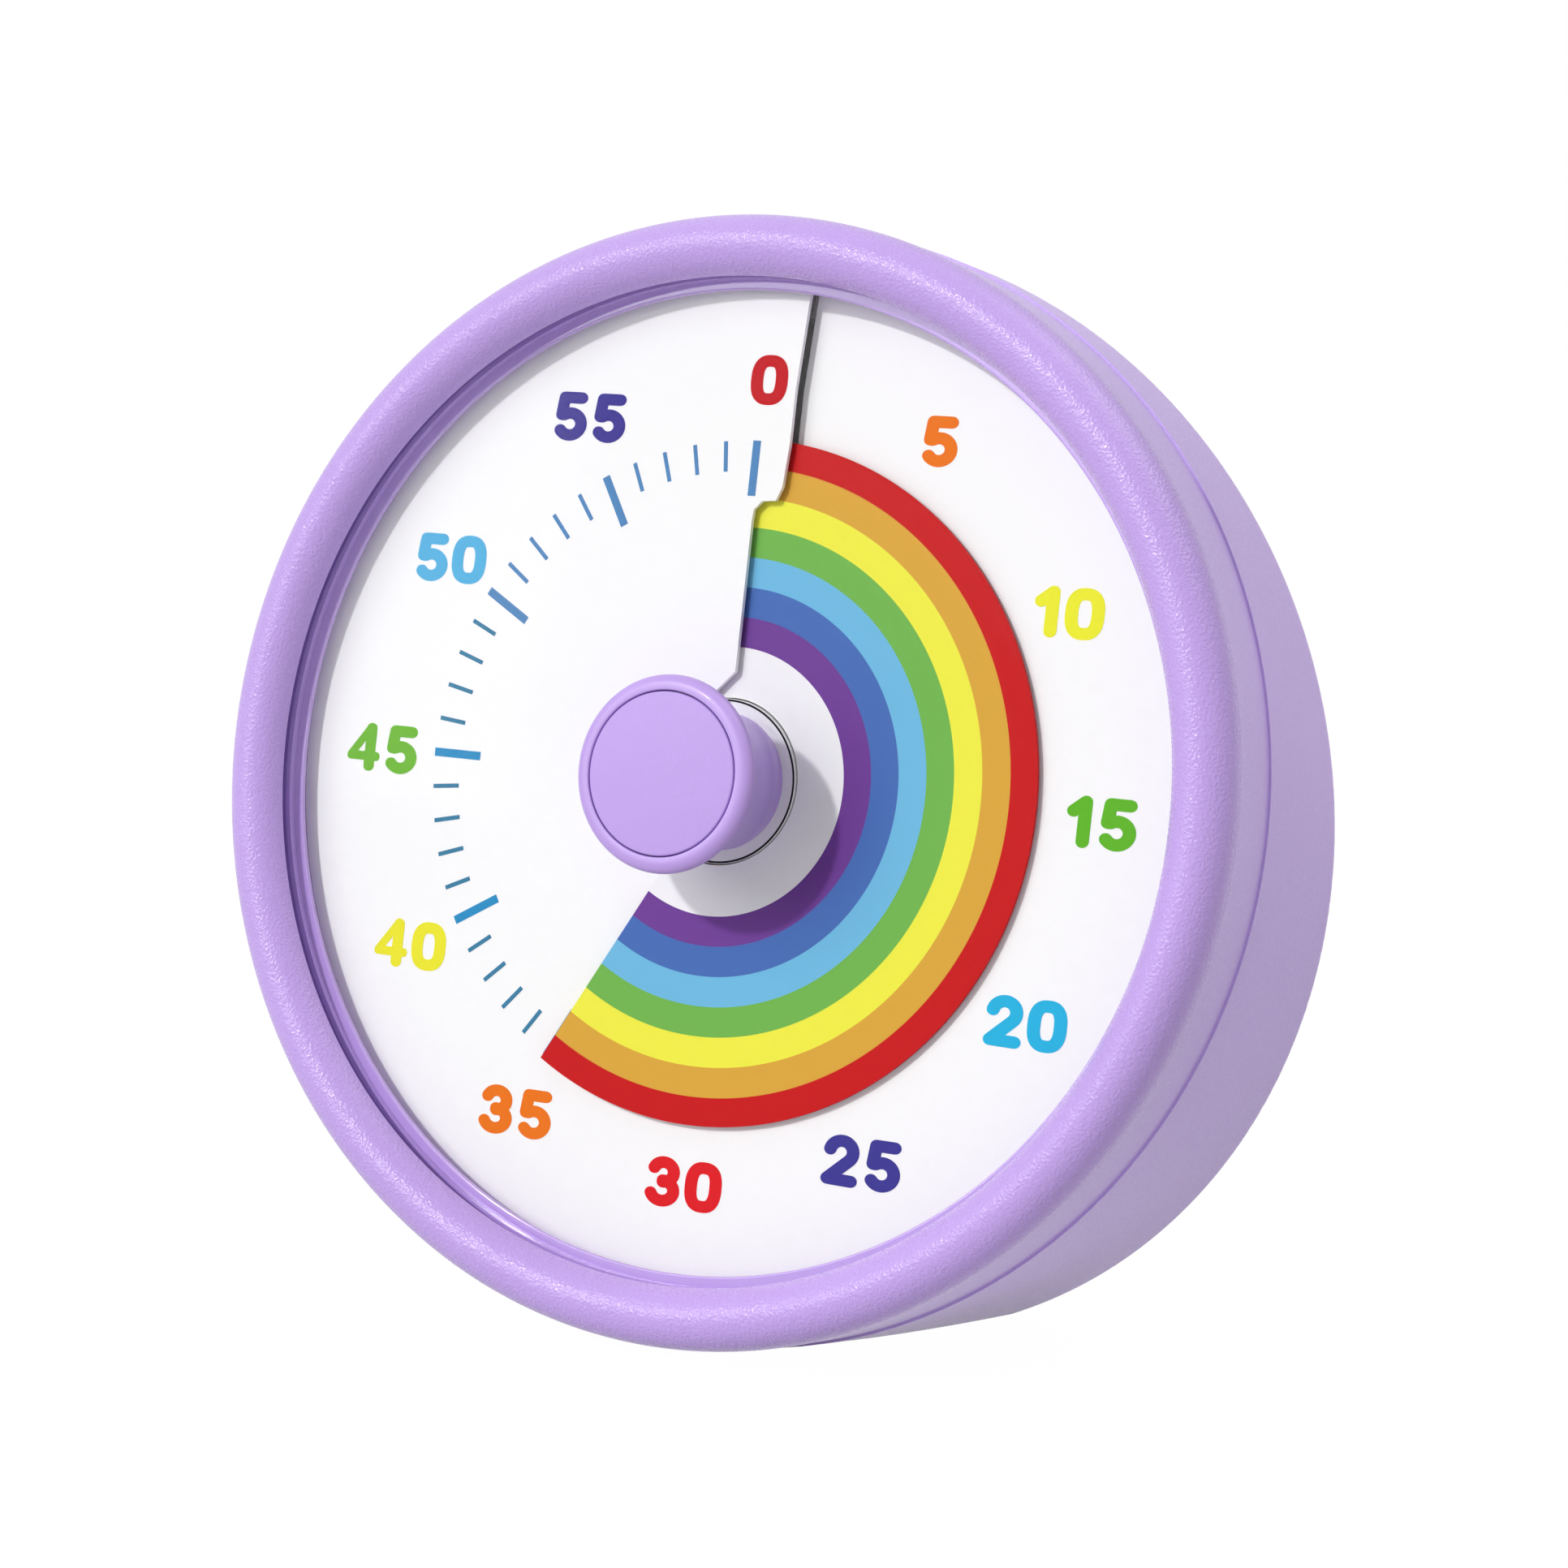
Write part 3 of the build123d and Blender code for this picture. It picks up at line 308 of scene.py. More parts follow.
def clear_plastic(name):
    """Thin clear window: see-through face on, with a gloss that grows towards a grazing look."""
    mat, tree, shader = new_material(name)
    haze = object_noise(tree, WINDOW_SCALE)
    tree.links.new(mix_colours(tree, haze.outputs["Fac"], (0.92, 0.93, 0.96), (1.0, 1.0, 1.0)),
                   shader.inputs["Base Color"])
    vary_roughness(tree, shader, haze, 0.03, 0.06)
    shader.inputs["Metallic"].default_value = 1.0
    facing = tree.nodes.new("ShaderNodeLayerWeight")
    steep = tree.nodes.new("ShaderNodeMath")
    steep.operation = "POWER"
    steep.inputs[1].default_value = WINDOW_POWER
    tree.links.new(facing.outputs["Facing"], steep.inputs[0])
    tree.links.new(ramp_between(tree, steep.outputs[0], 0, 1, *WINDOW_ALPHA), shader.inputs["Alpha"])
    return mat


LAV = textured_plastic("lavender_textured", LAVENDER)
LAV_DRUM = textured_plastic("lavender_drum", LAVENDER_DRUM, mottle_and_painted_sparkle=0.04, roughness=0.42, bump=0.1,
                            specular=0.6)
LAV_GLOSS = smooth_plastic("lavender_gloss", LAVENDER, roughness=0.12, coat=0.6)
LAV_KNOB = smooth_plastic("lavender_knob", LAVENDER_KNOB, roughness=0.4, coat=0.1)
LAV_CAP = textured_plastic("lavender_cap", LAVENDER_KNOB, mottle_and_painted_sparkle=0.02, roughness=0.5, bump=0.06)
WHITE_DIAL = printed("dial_white", (0.90, 0.90, 0.90))
DARK_LINE = printed("dark_line", (0.015, 0.015, 0.018), roughness=0.6)
TICK_UPPER = printed("tick_upper", (0.085, 0.235, 0.480))
TICK_LOWER_LONG = printed("tick_lower_long", (0.025, 0.260, 0.520))
TICK_LOWER_SHORT = printed("tick_lower_short", (0.045, 0.200, 0.340))
WHITE_PLASTIC = smooth_plastic("white_plastic", (0.80, 0.80, 0.80), roughness=0.35, coat=0.0)
GREY_PLASTIC = textured_plastic("grey_plastic", (0.60, 0.60, 0.60), mottle_and_painted_sparkle=0.05, roughness=0.5)
STEEL = metal("steel", (0.56, 0.57, 0.60), roughness=0.28, brushed=(1, 6, 1))
BRASS = metal("brass", (0.72, 0.50, 0.20), roughness=0.30, brushed=(5, 1, 1))
NICKEL = metal("nickel", (0.74, 0.73, 0.70), roughness=0.16)
FERRITE = textured_plastic("ferrite", (0.035, 0.035, 0.038), grain=FINE_SCALE, mottle_and_painted_sparkle=0.6,
                           roughness=0.55)
LENS = clear_plastic("clear_plastic")
# dark purple painted shade on the window's edge, under the bezel's lip
LENS_EDGE_SHADE = smooth_plastic("lens_edge_painted_shade", (0.340, 0.220, 0.580), roughness=0.3, coat=0.0)
RING_MATERIALS = [printed("disc_" + name, colour, roughness=0.42) for name, colour in RAINBOW]


# ---- mesh makers --------------------------------------------------------------------------------
SAME_POINT = 1e-5           # points closer than this, in millimetres, are one
SHEET_STEPS = 360           # steps round the dial and the disc
CASE_SEGMENTS = 320
KNOB_SEGMENTS = 200
PIECE_ANGLE = 35            # edges sharper than this, in degrees, are shaded sharp
SHEET_ANGLE = 30
NODE_ANGLE = 32


def shade_smooth(mesh, angle):
    """Smooth shading with sharp edges over an angle in degrees; flat where it is 0."""
    mesh.polygons.foreach_set("use_smooth", [angle > 0] * len(mesh.polygons))
    mesh.set_sharp_from_angle(angle=math.radians(angle))


def add_piece(name, mesh, body, materials, replaces=(), smooth_angle=PIECE_ANGLE):
    """Puts a mesh given in the timer's axes into the frame, on its body."""
    mesh.transform(TIMER)
    mesh.validate()
    obj = bpy.data.objects.new(name, mesh)
    bpy.context.scene.collection.objects.link(obj)
    for material in materials:
        mesh.materials.append(material)
    shade_smooth(mesh, smooth_angle)
    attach(obj, body)
    if replaces:
        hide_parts(*replaces)


def mesh_from(name, build):
    """Mesh whose faces a function adds to a bmesh, with its faces turned outwards."""
    bm = bmesh.new()
    build(bm)
    bmesh.ops.remove_doubles(bm, verts=bm.verts, dist=SAME_POINT)
    bmesh.ops.recalc_face_normals(bm, faces=bm.faces)
    mesh = bpy.data.meshes.new(name)
    bm.to_mesh(mesh)
    bm.free()
    return mesh


def revolve(profile, segments):
    """Builder that turns a closed profile of (radius, height) about the winding axis."""
    def build(bm):
        rings = []
        for radius, height in profile:
            if radius < SAME_POINT:
                rings.append([bm.verts.new((0, 0, height))])
                continue
            rings.append([bm.verts.new((radius * math.cos(a), radius * math.sin(a), height))
                          for a in (2 * math.pi * i / segments for i in range(segments))])
        for first, second in zip(rings, rings[1:] + rings[:1]):
            for i in range(segments):
                j = (i + 1) % segments
                corners = [first[i % len(first)], first[j % len(first)],
                           second[j % len(second)], second[i % len(second)]]
                corners = list(dict.fromkeys(corners))
                if len(corners) > 2:
                    bm.faces.new(corners)
    return build


def oval_arc(cx, cy, rx, ry, start, end, steps, power=2.0):
    """Points of an arc of an ellipse, from one angle in degrees to another, or of a squarer oval
    where power is over 2."""
    points = []
    for i in range(steps + 1):
        a = math.radians(start + (end - start) * i / steps)
        x, y = math.cos(a), math.sin(a)
        points.append((cx + rx * math.copysign(abs(x) ** (2 / power), x),
                       cy + ry * math.copysign(abs(y) ** (2 / power), y)))
    return points


def arc(cx, cy, radius, start, end, steps):
    return oval_arc(cx, cy, radius, radius, start, end, steps)


def smooth_curve(points, steps):
    """Catmull-Rom curve through (radius, height) points."""
    ends = [points[0]] + list(points) + [points[-1]]
    out = []
    for p0, p1, p2, p3 in zip(ends, ends[1:], ends[2:], ends[3:]):
        for i in range(steps):
            t = i / steps
            out.append(tuple(
                0.5 * (2 * b + (c - a) * t + (2 * a - 5 * b + 4 * c - d) * t * t
                       + (3 * b - a - 3 * c + d) * t ** 3)
                for a, b, c, d in zip(p0, p1, p2, p3)))
    return out + [points[-1]]


def clockwise(x, y):
    """Angle from 12 o'clock, clockwise, in degrees from -180 to 180."""
    return math.degrees(math.atan2(x, y))


def at_clock(radius, degrees):
    """Point at a radius and a clockwise angle."""
    a = math.radians(degrees)
    return radius * math.sin(a), radius * math.cos(a)


def slit_angle(radius):
    """Clockwise angle of the slit at a radius, along its straight runs."""
    for (x1, y1), (x2, y2) in zip(SLIT_LINE, SLIT_LINE[1:]):
        r1, r2 = math.hypot(x1, y1), math.hypot(x2, y2)
        if r2 <= radius <= r1:
            low, high = 0.0, 1.0
            for _ in range(SLIT_HALVINGS):
                mid = (low + high) / 2
                if math.hypot(x1 + (x2 - x1) * mid, y1 + (y2 - y1) * mid) > radius:
                    low = mid
                else:
                    high = mid
            return clockwise(x1 + (x2 - x1) * low, y1 + (y2 - y1) * low)
    raise ValueError("the slit doesn't reach radius %s" % radius)


def dial_height(degrees):
    """Height of the dial's face at a clockwise angle, 0 to 360 from the slit."""
    return -SCREW_RISE / 2 + SCREW_RISE * degrees / 360


def screw_sheet(radii, start, end, lift, thickness, material_of=lambda band: 0):
    """Builder of a sheet on a screw surface. start and end give each radius its clockwise angles,
    and material_of gives each band between two radii its material."""
    def build(bm):
        grids = []
        for drop in (0.0, thickness):
            grid = []
            for radius in radii:
                a, b = start(radius), end(radius)
                row = []
                for i in range(SHEET_STEPS + 1):
                    degrees = a + (b - a) * i / SHEET_STEPS
                    x, y = at_clock(radius, degrees)
                    row.append(bm.verts.new((x, y, lift + SCREW_RISE * degrees / 360 - drop)))
                grid.append(row)
            grids.append(grid)
        top, low = grids
        quads = []
        bands = range(len(radii) - 1)
        for k in bands:
            for i in range(SHEET_STEPS):
                for grid in grids:
                    quads.append((k, (grid[k][i], grid[k][i + 1], grid[k + 1][i + 1], grid[k + 1][i])))
            for i in (0, SHEET_STEPS):
                quads.append((k, (top[k][i], top[k + 1][i], low[k + 1][i], low[k][i])))
        for band, k in ((bands[0], 0), (bands[-1], len(radii) - 1)):
            for i in range(SHEET_STEPS):
                quads.append((band, (top[k][i], top[k][i + 1], low[k][i + 1], low[k][i])))
        for band, corners in quads:
            bm.faces.new(corners).material_index = material_of(band)
    return build


# ---- case ---------------------------------------------------------------------------------------
def make_bezel():
    """Rolled rim with its skirt; the crease between them divides its two materials."""
    crease = -math.degrees(math.acos((SKIRT_R - ROLL_MIDDLE_R) / ROLL_HALF_W))
    lip = 180 - math.degrees(math.asin((LENS_TOP - ROLL_Z) / ROLL_H))
    profile = [(SKIRT_R, PART_LINE)]
    profile += oval_arc(ROLL_MIDDLE_R, ROLL_Z, ROLL_HALF_W, ROLL_H, crease, lip, steps=48)
    profile += [(LENS_SEAT_R, LENS_TOP), (LENS_SEAT_R, BEZEL_WEB_Z),
                (SKIRT_INNER_R, BEZEL_WEB_Z), (SKIRT_INNER_R, PART_LINE)]
    mesh = mesh_from("bezel_skin", revolve(profile, CASE_SEGMENTS))
    crease_z = ROLL_Z + ROLL_H * math.sin(math.radians(crease))
    for face in mesh.polygons:
        face.material_index = int(face.center.z < crease_z)
    add_piece("bezel_skin", mesh, "case", [LAV, LAV_DRUM], ("front_bezel",))


def make_lens():
    """Flat window with a hole for the knob, and a dark purple material towards its edge, painted shade
    under the bezel's lip.
    """
    profile = [(LENS_HOLE_R, LENS_BOTTOM), (LENS_SHADE_R, LENS_BOTTOM), (LENS_R, LENS_BOTTOM),
               (LENS_R, LENS_TOP), (LENS_HOLE_R + LENS_EDGE_CUT, LENS_TOP),
               (LENS_HOLE_R, LENS_TOP - LENS_EDGE_CUT)]
    mesh = mesh_from("window", revolve(profile, CASE_SEGMENTS))
    # the window's outer band and rim get the dark purple painted shade
    for face in mesh.polygons:
        face.material_index = int(math.hypot(*face.center[:2]) > LENS_SHADE_R)
    add_piece("window", mesh, "case", [LENS, LENS_EDGE_SHADE], ("front_lens",))


def make_trim_ring():
    """Gloss ring round the dial, with a thin lip over the dial's edge."""
    top = LENS_BOTTOM - LENS_GAP
    lip_low = TRIM_LIP_Z - TRIM_LIP_T
    profile = [(TRIM_RING_R, TRIM_LOW), (TRIM_RING_R, lip_low), (TRIM_LIP_R, lip_low)]
    profile += arc(TRIM_LIP_R + TRIM_LIP_ROUND, TRIM_LIP_Z - TRIM_LIP_ROUND, TRIM_LIP_ROUND,
                   180, 90, steps=8)
    profile += [(TRIM_RING_R, TRIM_LIP_Z), (TRIM_RING_R, top), (LENS_R, top), (LENS_R, TRIM_LOW)]
    mesh = mesh_from("gloss_ring", revolve(profile, CASE_SEGMENTS))
    add_piece("gloss_ring", mesh, "case", [LAV_GLOSS], ("trim_ring",))


# ---- dial ---------------------------------------------------------------------------------------
def make_dial():
    """White sheet on the screw surface, once round from one side of the slit to the other."""
    slit_radii = [math.hypot(x, y) for x, y in SLIT_LINE]
    radii = {DIAL_BORE_R, DIAL_R, *DIAL_ROWS, *(r for r in slit_radii if DIAL_BORE_R < r < DIAL_R)}
    mesh = mesh_from("dial_sheet", screw_sheet(
        sorted(radii), slit_angle, lambda r: slit_angle(r) + 360, -SCREW_RISE / 2, DIAL_T))
    add_piece("dial_sheet", mesh, "case", [WHITE_DIAL], ("dial_plate",), SHEET_ANGLE)


def make_disc():
    """Sheet on the same surface, white in the middle and with a material for each colour ring."""
    radii = (DISC_BORE_R, *RING_RADII)
    mesh = mesh_from("rainbow_sheet", screw_sheet(
        radii, lambda r: DISC_LEAD - 360, lambda r: DISC_LEAD, -DISC_DROP, DISC_T, lambda band: band))
    add_piece("rainbow_sheet", mesh, "disc", RING_MATERIALS, ("rainbow_disc",),
              SHEET_ANGLE)


def dial_ink(patches):
    """Builder of flat ink patches that follow the dial's height; each patch is (points, faces)."""
    def build(bm):
        for points, faces in patches:
            top, low = [], []
            for x, y in points:
                degrees = clockwise(x, y) % 360
                if degrees < slit_angle(math.hypot(x, y)):
                    degrees += 360
                z = dial_height(degrees)
                top.append(bm.verts.new((x, y, z + INK)))
                low.append(bm.verts.new((x, y, z - INK)))
            edges = {}
            for face in faces:
                bm.faces.new([top[i] for i in face])
                bm.faces.new([low[i] for i in reversed(face)])
                for i, j in zip(face, face[1:] + face[:1]):
                    edges[frozenset((i, j))] = edges.get(frozenset((i, j)), 0) + 1
            for edge, count in edges.items():
                if count == 1:
                    i, j = tuple(edge)
                    bm.faces.new((top[i], top[j], low[j], low[i]))
    return build


def tick_patch(minute):
    """Mark of one minute, in short runs that follow the dial."""
    inner, outer, width = TICK_SHORT if minute % 5 else TICK_LONG
    out_x, out_y = at_clock(1.0, 6 * minute)
    points = []
    for i in range(TICK_RUNS + 1):
        r = inner + (outer - inner) * i / TICK_RUNS
        points += [(r * out_x + side * out_y, r * out_y - side * out_x)
                   for side in (-width / 2, width / 2)]
    return points, [[2 * i, 2 * i + 1, 2 * i + 3, 2 * i + 2] for i in range(TICK_RUNS)]


def make_ticks():
    """The minute marks in three pieces, one for each blue."""
    minutes = [minute for minute in range(60) if minute != NO_TICK]
    lower = [minute for minute in minutes if minute in LOWER_MINUTES]
    groups = {
        "upper": (TICK_UPPER, [minute for minute in minutes if minute not in LOWER_MINUTES]),
        "long": (TICK_LOWER_LONG, [minute for minute in lower if minute % 5 == 0]),
        "short": (TICK_LOWER_SHORT, [minute for minute in lower if minute % 5]),
    }
    for name, (ink, group) in groups.items():
        mesh = mesh_from("minute_marks_" + name, dial_ink([tick_patch(minute) for minute in group]))
        add_piece("minute_marks_" + name, mesh, "case", [ink], smooth_angle=0)


def digit_strokes(digit):
    """Centre lines of a rounded digit, one unit high, about its middle, each with its pen."""
    h = 0.5 - PEN[1] / 2
    w = (DIGIT_WIDTH - PEN[0]) / 2
    if digit == "4":
        high = 0.5 - PEN_OF_STEM[1] / 2
        slant_high = 0.5 - PEN_OF_SLANT[1] / 2
        reach = (DIGIT_WIDTH - PEN_OF_SLANT[0]) / 2
        return [([(0.15, -high), (0.15, high)], PEN_OF_STEM),
                ([(0.13, slant_high), (-reach, -0.19), (reach, -0.19)], PEN_OF_SLANT)]
    if digit == "0":
        return [(oval_arc(0, 0, w + 0.015, h, 0, 360, 40, OVAL_POWER), PEN)]
    if digit == "1":
        return [([(-0.145, h - 0.19), (0.10, h), (0.10, -h)], PEN)]
    if digit == "2":
        return [(oval_arc(0, h - 0.22, w - 0.01, 0.22, 170, -40, 20) + [(-w, -h + 0.01), (w, -h)], PEN)]
    if digit == "3":
        return [(oval_arc(-0.01, h - 0.195, w - 0.03, 0.195, 160, -90, 20), PEN),
                (oval_arc(-0.01, -h + 0.2025, w, 0.2025, 90, -160, 20), PEN)]
    if digit == "5":
        return [([(w - 0.03, h), (-w + 0.09, h), (-w + 0.05, 0.03)]
                 + oval_arc(0, -h + 0.225, w, 0.225, 125, -145, 22), PEN)]
    raise ValueError(digit)


def stroke_shapes(path, wide, high):
    """Closed outlines, one for each run of a path, of the stroke that an oval pen leaves."""
    shapes = []
    squeeze = high / wide
    for (x1, y1), (x2, y2) in zip(path, path[1:]):
        a = math.atan2((y2 - y1) / squeeze, x2 - x1)
        outline = []
        for cx, cy, turn in ((x2, y2, -math.pi / 2), (x1, y1, math.pi / 2)):
            for i in range(CAP_STEPS + 1):
                t = a + turn + math.pi * i / CAP_STEPS
                outline.append((cx + wide / 2 * math.cos(t), cy + high / 2 * math.sin(t)))
        shapes.append(outline)
    return shapes


def number_patches(text, centre):
    """Triangulated patches of a number, upright on the dial."""
    patches = []
    widths = [ONE_WIDTH if digit == "1" else DIGIT_WIDTH for digit in text]
    left = -(sum(widths) + DIGIT_SPACE * (len(text) - 1)) / 2
    for k, digit in enumerate(text):
        offset = left + sum(widths[:k]) + DIGIT_SPACE * k + widths[k] / 2
        verts, faces = [], []
        for path, pen in digit_strokes(digit):
            for shape in stroke_shapes(path, *pen):
                faces.append(list(range(len(verts), len(verts) + len(shape))))
                verts += [Vector(p) for p in shape]
        out, _, tris, _, _, inside = geometry.delaunay_2d_cdt(verts, [], faces, 0, SNAP)
        points = [(centre[0] + DIGIT_HEIGHT * (v.x + offset), centre[1] + DIGIT_HEIGHT * v.y) for v in out]
        patches.append((points, [list(t) for t, origin in zip(tris, inside) if origin]))
    return patches


def make_numbers():
    """The twelve numbers, each a piece with its own ink."""
    for text, radius, degrees, colour in NUMBERS:
        mesh = mesh_from("number_" + text, dial_ink(number_patches(text, at_clock(radius, degrees))))
        ink = printed("ink_" + text, colour)
        add_piece("number_" + text, mesh, "case", [ink], smooth_angle=0)


# ---- knob ---------------------------------------------------------------------------------------
def make_knob():
    """Mushroom knob on a flared neck, and the cap in its face behind a fine groove."""
    rim_z = KNOB_TOP - KNOB_RIM_R
    cap_low = KNOB_TOP - CAP_T
    flare_r, flare_z = KNOB_NECK_FLARE
    under_r, under_z = KNOB_RIM_FLARE
    profile = [(0, HUB_TOP), (KNOB_NECK_R, HUB_TOP)]
    profile += smooth_curve([*((KNOB_NECK_R, HUB_TOP + z) for z in KNOB_NECK_HEIGHTS),
                             (KNOB_NECK_R + flare_r, HUB_TOP + flare_z),
                             (KNOB_R - under_r, rim_z - under_z), (KNOB_R, rim_z)], KNOB_CURVE_STEPS)
    profile += arc(KNOB_R - KNOB_RIM_R, rim_z, KNOB_RIM_R, 5, 90, steps=14)
    groove_r = CAP_R + CAP_GROOVE
    profile += arc(groove_r + CAP_GROOVE_ROUND, KNOB_TOP - CAP_GROOVE_ROUND, CAP_GROOVE_ROUND,
                   90, 180, steps=4)
    profile += [(groove_r, cap_low), (0, cap_low)]
    mesh = mesh_from("knob_body", revolve(profile, KNOB_SEGMENTS))
    add_piece("knob_body", mesh, "winder", [LAV_KNOB], ("knob",))
    profile = [(0, cap_low), (CAP_R, cap_low)]
    profile += arc(CAP_R - CAP_ROUND, KNOB_TOP - CAP_ROUND, CAP_ROUND, 0, 90, steps=5) + [(0, KNOB_TOP)]
    mesh = mesh_from("knob_inlay", revolve(profile, KNOB_SEGMENTS))
    add_piece("knob_inlay", mesh, "winder", [LAV_CAP], ("knob_cap",))


def make_hub():
    """White hub with a dark line round its edge."""
    profile = [(0, HUB_LOW), (HUB_R, HUB_LOW), (HUB_R, HUB_TOP - HUB_EDGE_CUT),
               (HUB_R - HUB_EDGE_CUT, HUB_TOP), (0, HUB_TOP)]
    mesh = mesh_from("hub_body", revolve(profile, KNOB_SEGMENTS))
    add_piece("hub_body", mesh, "winder", [WHITE_PLASTIC], ("disc_hub",))
    outer = HUB_R - HUB_LINE_INSET
    inner = HUB_R - HUB_LINE_W - HUB_LINE_INSET
    low, high = HUB_TOP - HUB_LINE_SUNK, HUB_TOP + HUB_LINE_PROUD
    profile = [(inner, low), (outer, low), (outer, high), (inner, high)]
    mesh = mesh_from("hub_line", revolve(profile, KNOB_SEGMENTS))
    add_piece("hub_line", mesh, "winder", [DARK_LINE])


# ---- CAD nodes that keep their own shape --------------------------------------------------------
NODES_BY_MATERIAL = (
    (LAV_DRUM, ("rear_shell",)),
    (FERRITE, ("back_magnets",)),
    (GREY_PLASTIC, ("movement_carrier", "dial_seat")),
    (BRASS, ("front_plate", "back_plate", "great_wheel", "second_wheel", "third_wheel", "escape_wheel",
             "balance_wheel", "mainspring_barrel")),
    (NICKEL, ("gong",)),
    (STEEL, ("case_screws", "spindle", "plate_pillars", "carrier_screws", "plate_screws", "friction_spring",
             "second_pinion", "third_pinion", "escape_pinion", "pallet_lever", "hairspring", "mainspring",
             "spindle_clip", "alarm_cam", "gong_post", "gong_screw", "hammer", "hammer_stud")),
)


def finish_nodes():
    """Procedural materials and smooth shading for the CAD nodes that aren't replaced."""
    for material, names in NODES_BY_MATERIAL:
        for name in names:
            mesh = frame["nodes"][name].data
            mesh.materials.clear()
            mesh.materials.append(material)
            shade_smooth(mesh, NODE_ANGLE)


# ---- camera, light and floor --------------------------------------------------------------------
CAMERA_MM = (158.26, -284.48, 83.13)          # in the frame's axes
CAMERA_TURN = (83.1203, -2.1881, 28.5313)     # degrees about x, y and z
LENS_MM = 96.07
SENSOR_MM = 36.0
NEAR_M = 0.01
SUNS = (                      # name, power, width in degrees, direction in the timer's axes
    ("key", 1.30, 3.0, (0.345, -0.45, -1.0)),
    ("soft_key", 0.85, 36.0, (0.62, -0.42, -1.0)),
    ("front", 0.35, 60.0, (-0.10, 0.25, -1.0)),
    ("fill", 1.15, 40.0, (-0.42, -0.90, 0.05)),
)
SOFTBOX_MM = (-365, 45, 497)  # in the timer's axes
SOFTBOX_M = (0.08, 0.10)      # width and height
SOFTBOX_POWER = 0.30          # watts
SKY_POWER = 0.31
FLOOR_HALF_M = 3.0
FLOOR_DROP_M = 0.0002
FLOOR_COLOUR = (0.58, 0.58, 0.58)
FLOOR_ROUGHNESS = 0.9
FLOOR_GLOW = 1.02             # strength of the glow that the camera sees on the floor
FLOOR_GLOW_SHARE = 0.97       # the rest is the lit floor, which keeps the timer's shadow
WHITE = (1, 1, 1, 1)


def make_camera():
    """Camera at the photograph's viewing angle."""
    data = bpy.data.cameras.new("camera")
    data.lens = LENS_MM
    data.sensor_width = SENSOR_MM
    data.clip_start = NEAR_M
    camera = bpy.data.objects.new("camera", data)
    camera.location = Vector(CAMERA_MM) * MM
    camera.rotation_euler = [math.radians(a) for a in CAMERA_TURN]
    bpy.context.scene.collection.objects.link(camera)
    bpy.context.scene.camera = camera


def aim(obj, direction):
    """Turns a lamp to shine along a direction."""
    obj.rotation_euler = Vector(direction).to_track_quat("-Z", "Y").to_euler()


def add_sun(name, power, spread, direction):
    """Lamp as wide as spread, in degrees, that shines along a direction of the timer's axes."""
    lamp = bpy.data.lights.new(name, "SUN")
    lamp.energy = power
    lamp.angle = math.radians(spread)
    obj = bpy.data.objects.new(name, lamp)
    aim(obj, TIMER.to_3x3() @ Vector(direction))
    bpy.context.scene.collection.objects.link(obj)


def add_softbox():
    """White panel to the left of the reader, which only shows in the gloss."""
    lamp = bpy.data.lights.new("softbox", "AREA")
    lamp.shape = "RECTANGLE"
    lamp.size, lamp.size_y = SOFTBOX_M
    lamp.energy = SOFTBOX_POWER
    obj = bpy.data.objects.new("softbox", lamp)
    obj.location = TIMER @ Vector(SOFTBOX_MM)
    aim(obj, TIMER.to_3x3() @ -Vector(SOFTBOX_MM))
    obj.visible_diffuse = False
    obj.visible_camera = False
    bpy.context.scene.collection.objects.link(obj)


def sees_background(tree):
    """1 for the camera's own rays and for those that gloss and clear plastic send on, else 0."""
    path = tree.nodes.new("ShaderNodeLightPath")
    total = path.outputs["Is Camera Ray"]
    for name in ("Is Glossy Ray", "Is Transmission Ray"):
        either = tree.nodes.new("ShaderNodeMath")
        either.operation = "MAXIMUM"
        tree.links.new(total, either.inputs[0])
        tree.links.new(path.outputs[name], either.inputs[1])
        total = either.outputs[0]
    return total


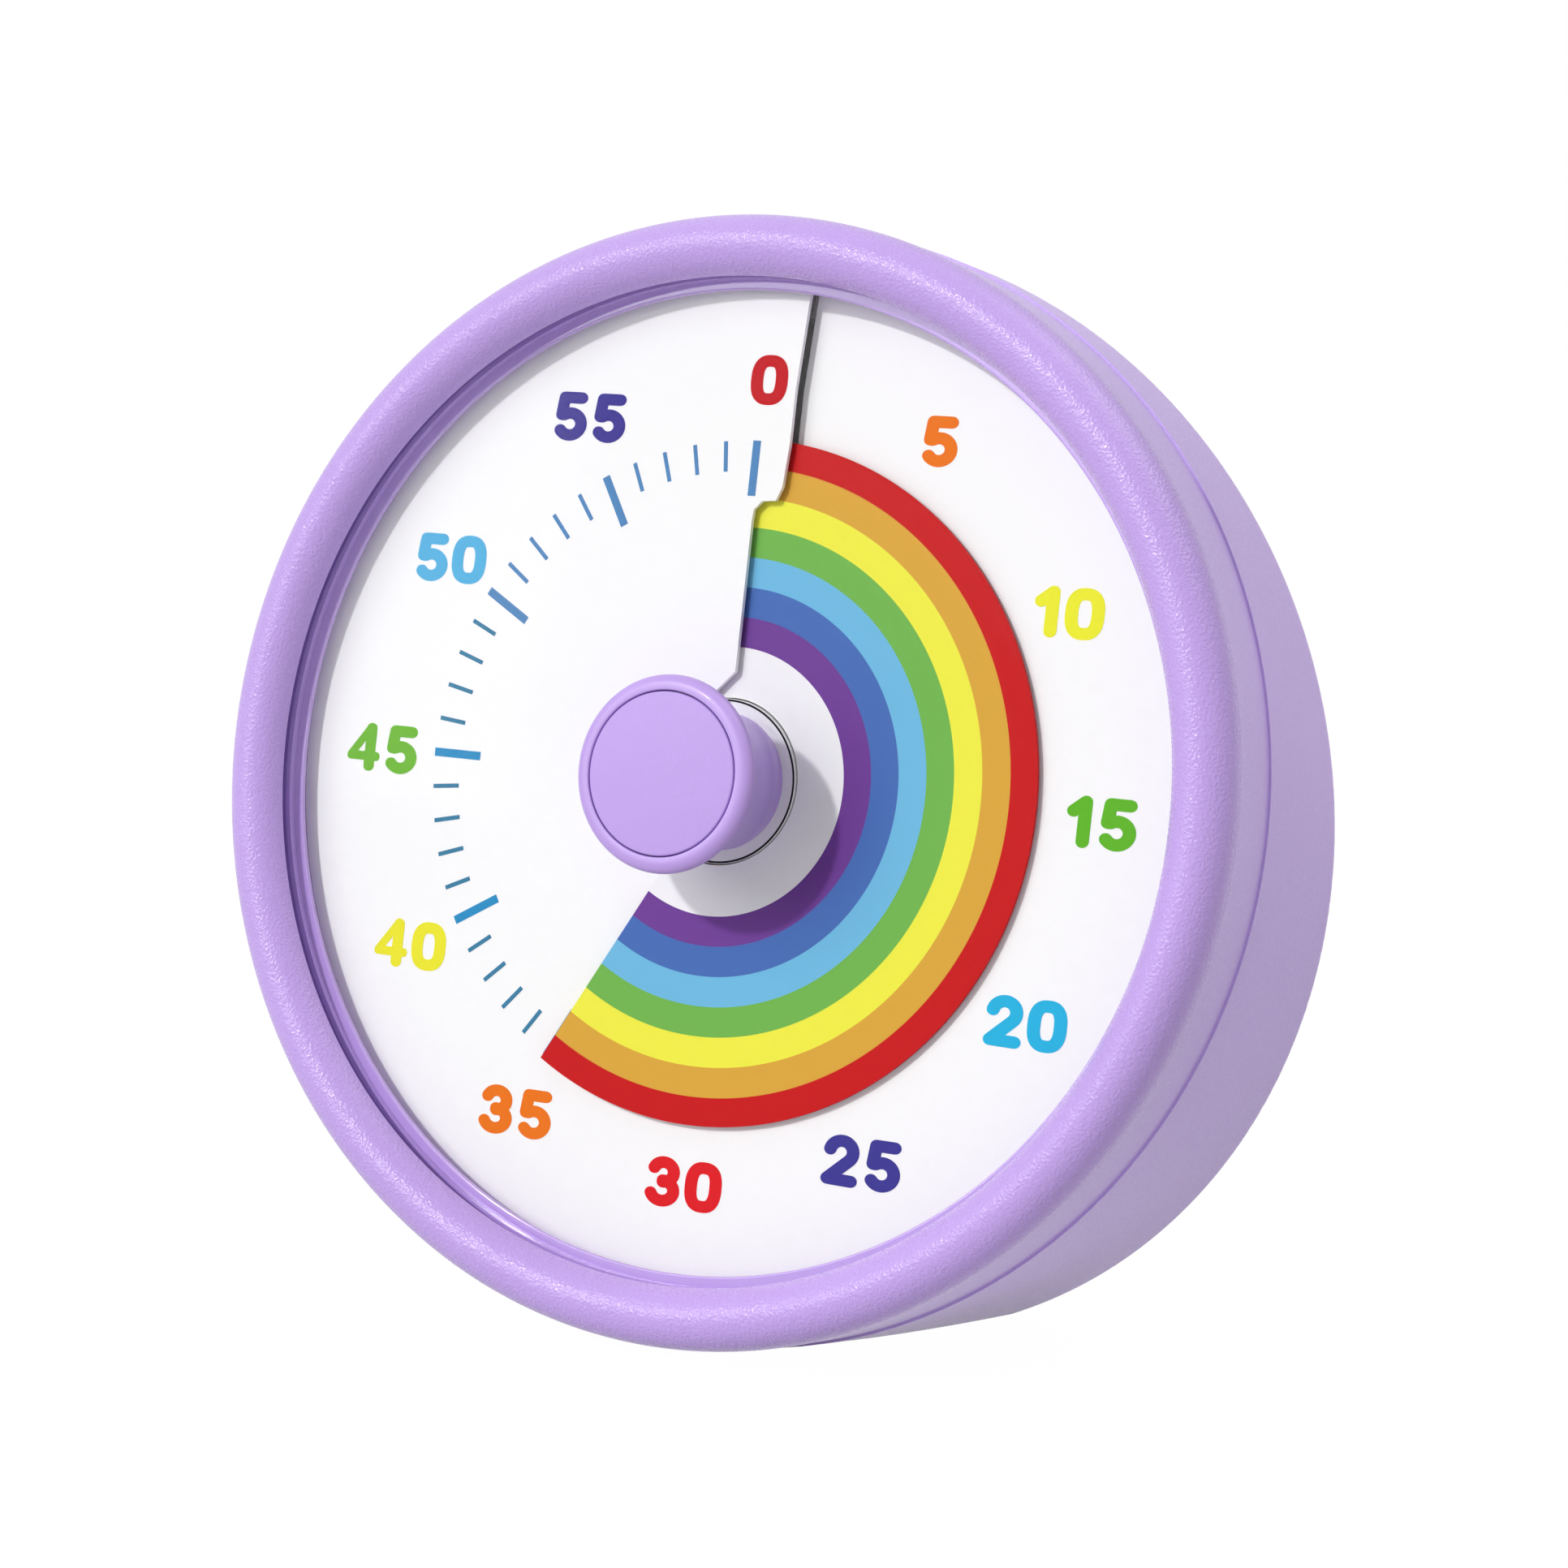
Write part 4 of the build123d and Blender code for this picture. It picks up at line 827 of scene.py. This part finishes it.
def mix_shaders(tree, factor, first, second, output):
    """Shows one shader where the factor is 0 and the other where it is 1."""
    mix = tree.nodes.new("ShaderNodeMixShader")
    for i, source in enumerate((factor, first.outputs[0], second.outputs[0])):
        tree.links.new(source, mix.inputs[i])
    tree.links.new(mix.outputs[0], tree.nodes[output].inputs["Surface"])


def make_lights():
    for sun in SUNS:
        add_sun(*sun)
    add_softbox()


def make_sky():
    """Even light from all round, which shows white behind the timer."""
    world = bpy.data.worlds.new("studio")
    bpy.context.scene.world = world
    world.use_nodes = True
    tree = world.node_tree
    soft = tree.nodes["Background"]
    soft.inputs["Color"].default_value = WHITE
    soft.inputs["Strength"].default_value = SKY_POWER
    white = tree.nodes.new("ShaderNodeBackground")
    white.inputs["Color"].default_value = WHITE
    white.inputs["Strength"].default_value = 1.0
    mix_shaders(tree, sees_background(tree), soft, white, "World Output")


def make_floor():
    """Pale floor that shows white to the camera and keeps a soft shadow."""
    mat, tree, shader = new_material("floor")
    shader.inputs["Base Color"].default_value = (*FLOOR_COLOUR, 1)
    shader.inputs["Roughness"].default_value = FLOOR_ROUGHNESS
    glow = tree.nodes.new("ShaderNodeEmission")
    glow.inputs["Color"].default_value = WHITE
    glow.inputs["Strength"].default_value = FLOOR_GLOW
    share = tree.nodes.new("ShaderNodeMath")
    share.operation = "MULTIPLY"
    share.inputs[1].default_value = FLOOR_GLOW_SHARE
    tree.links.new(sees_background(tree), share.inputs[0])
    mix_shaders(tree, share.outputs[0], shader, glow, "Material Output")
    quarters = ((-1, -1), (1, -1), (1, 1), (-1, 1))
    corners = [(x * FLOOR_HALF_M, y * FLOOR_HALF_M, 0) for x, y in quarters]
    mesh = bpy.data.meshes.new("floor")
    mesh.from_pydata(corners, [], [(0, 1, 2, 3)])
    mesh.materials.append(mat)
    floor = bpy.data.objects.new("floor", mesh)
    floor.location.z = -FLOOR_DROP_M
    bpy.context.scene.collection.objects.link(floor)


make_bezel()
make_lens()
make_trim_ring()
make_dial()
make_disc()
make_ticks()
make_numbers()
make_knob()
make_hub()
finish_nodes()
make_camera()
make_lights()
make_sky()
make_floor()
bpy.context.scene.view_settings.view_transform = "Standard"
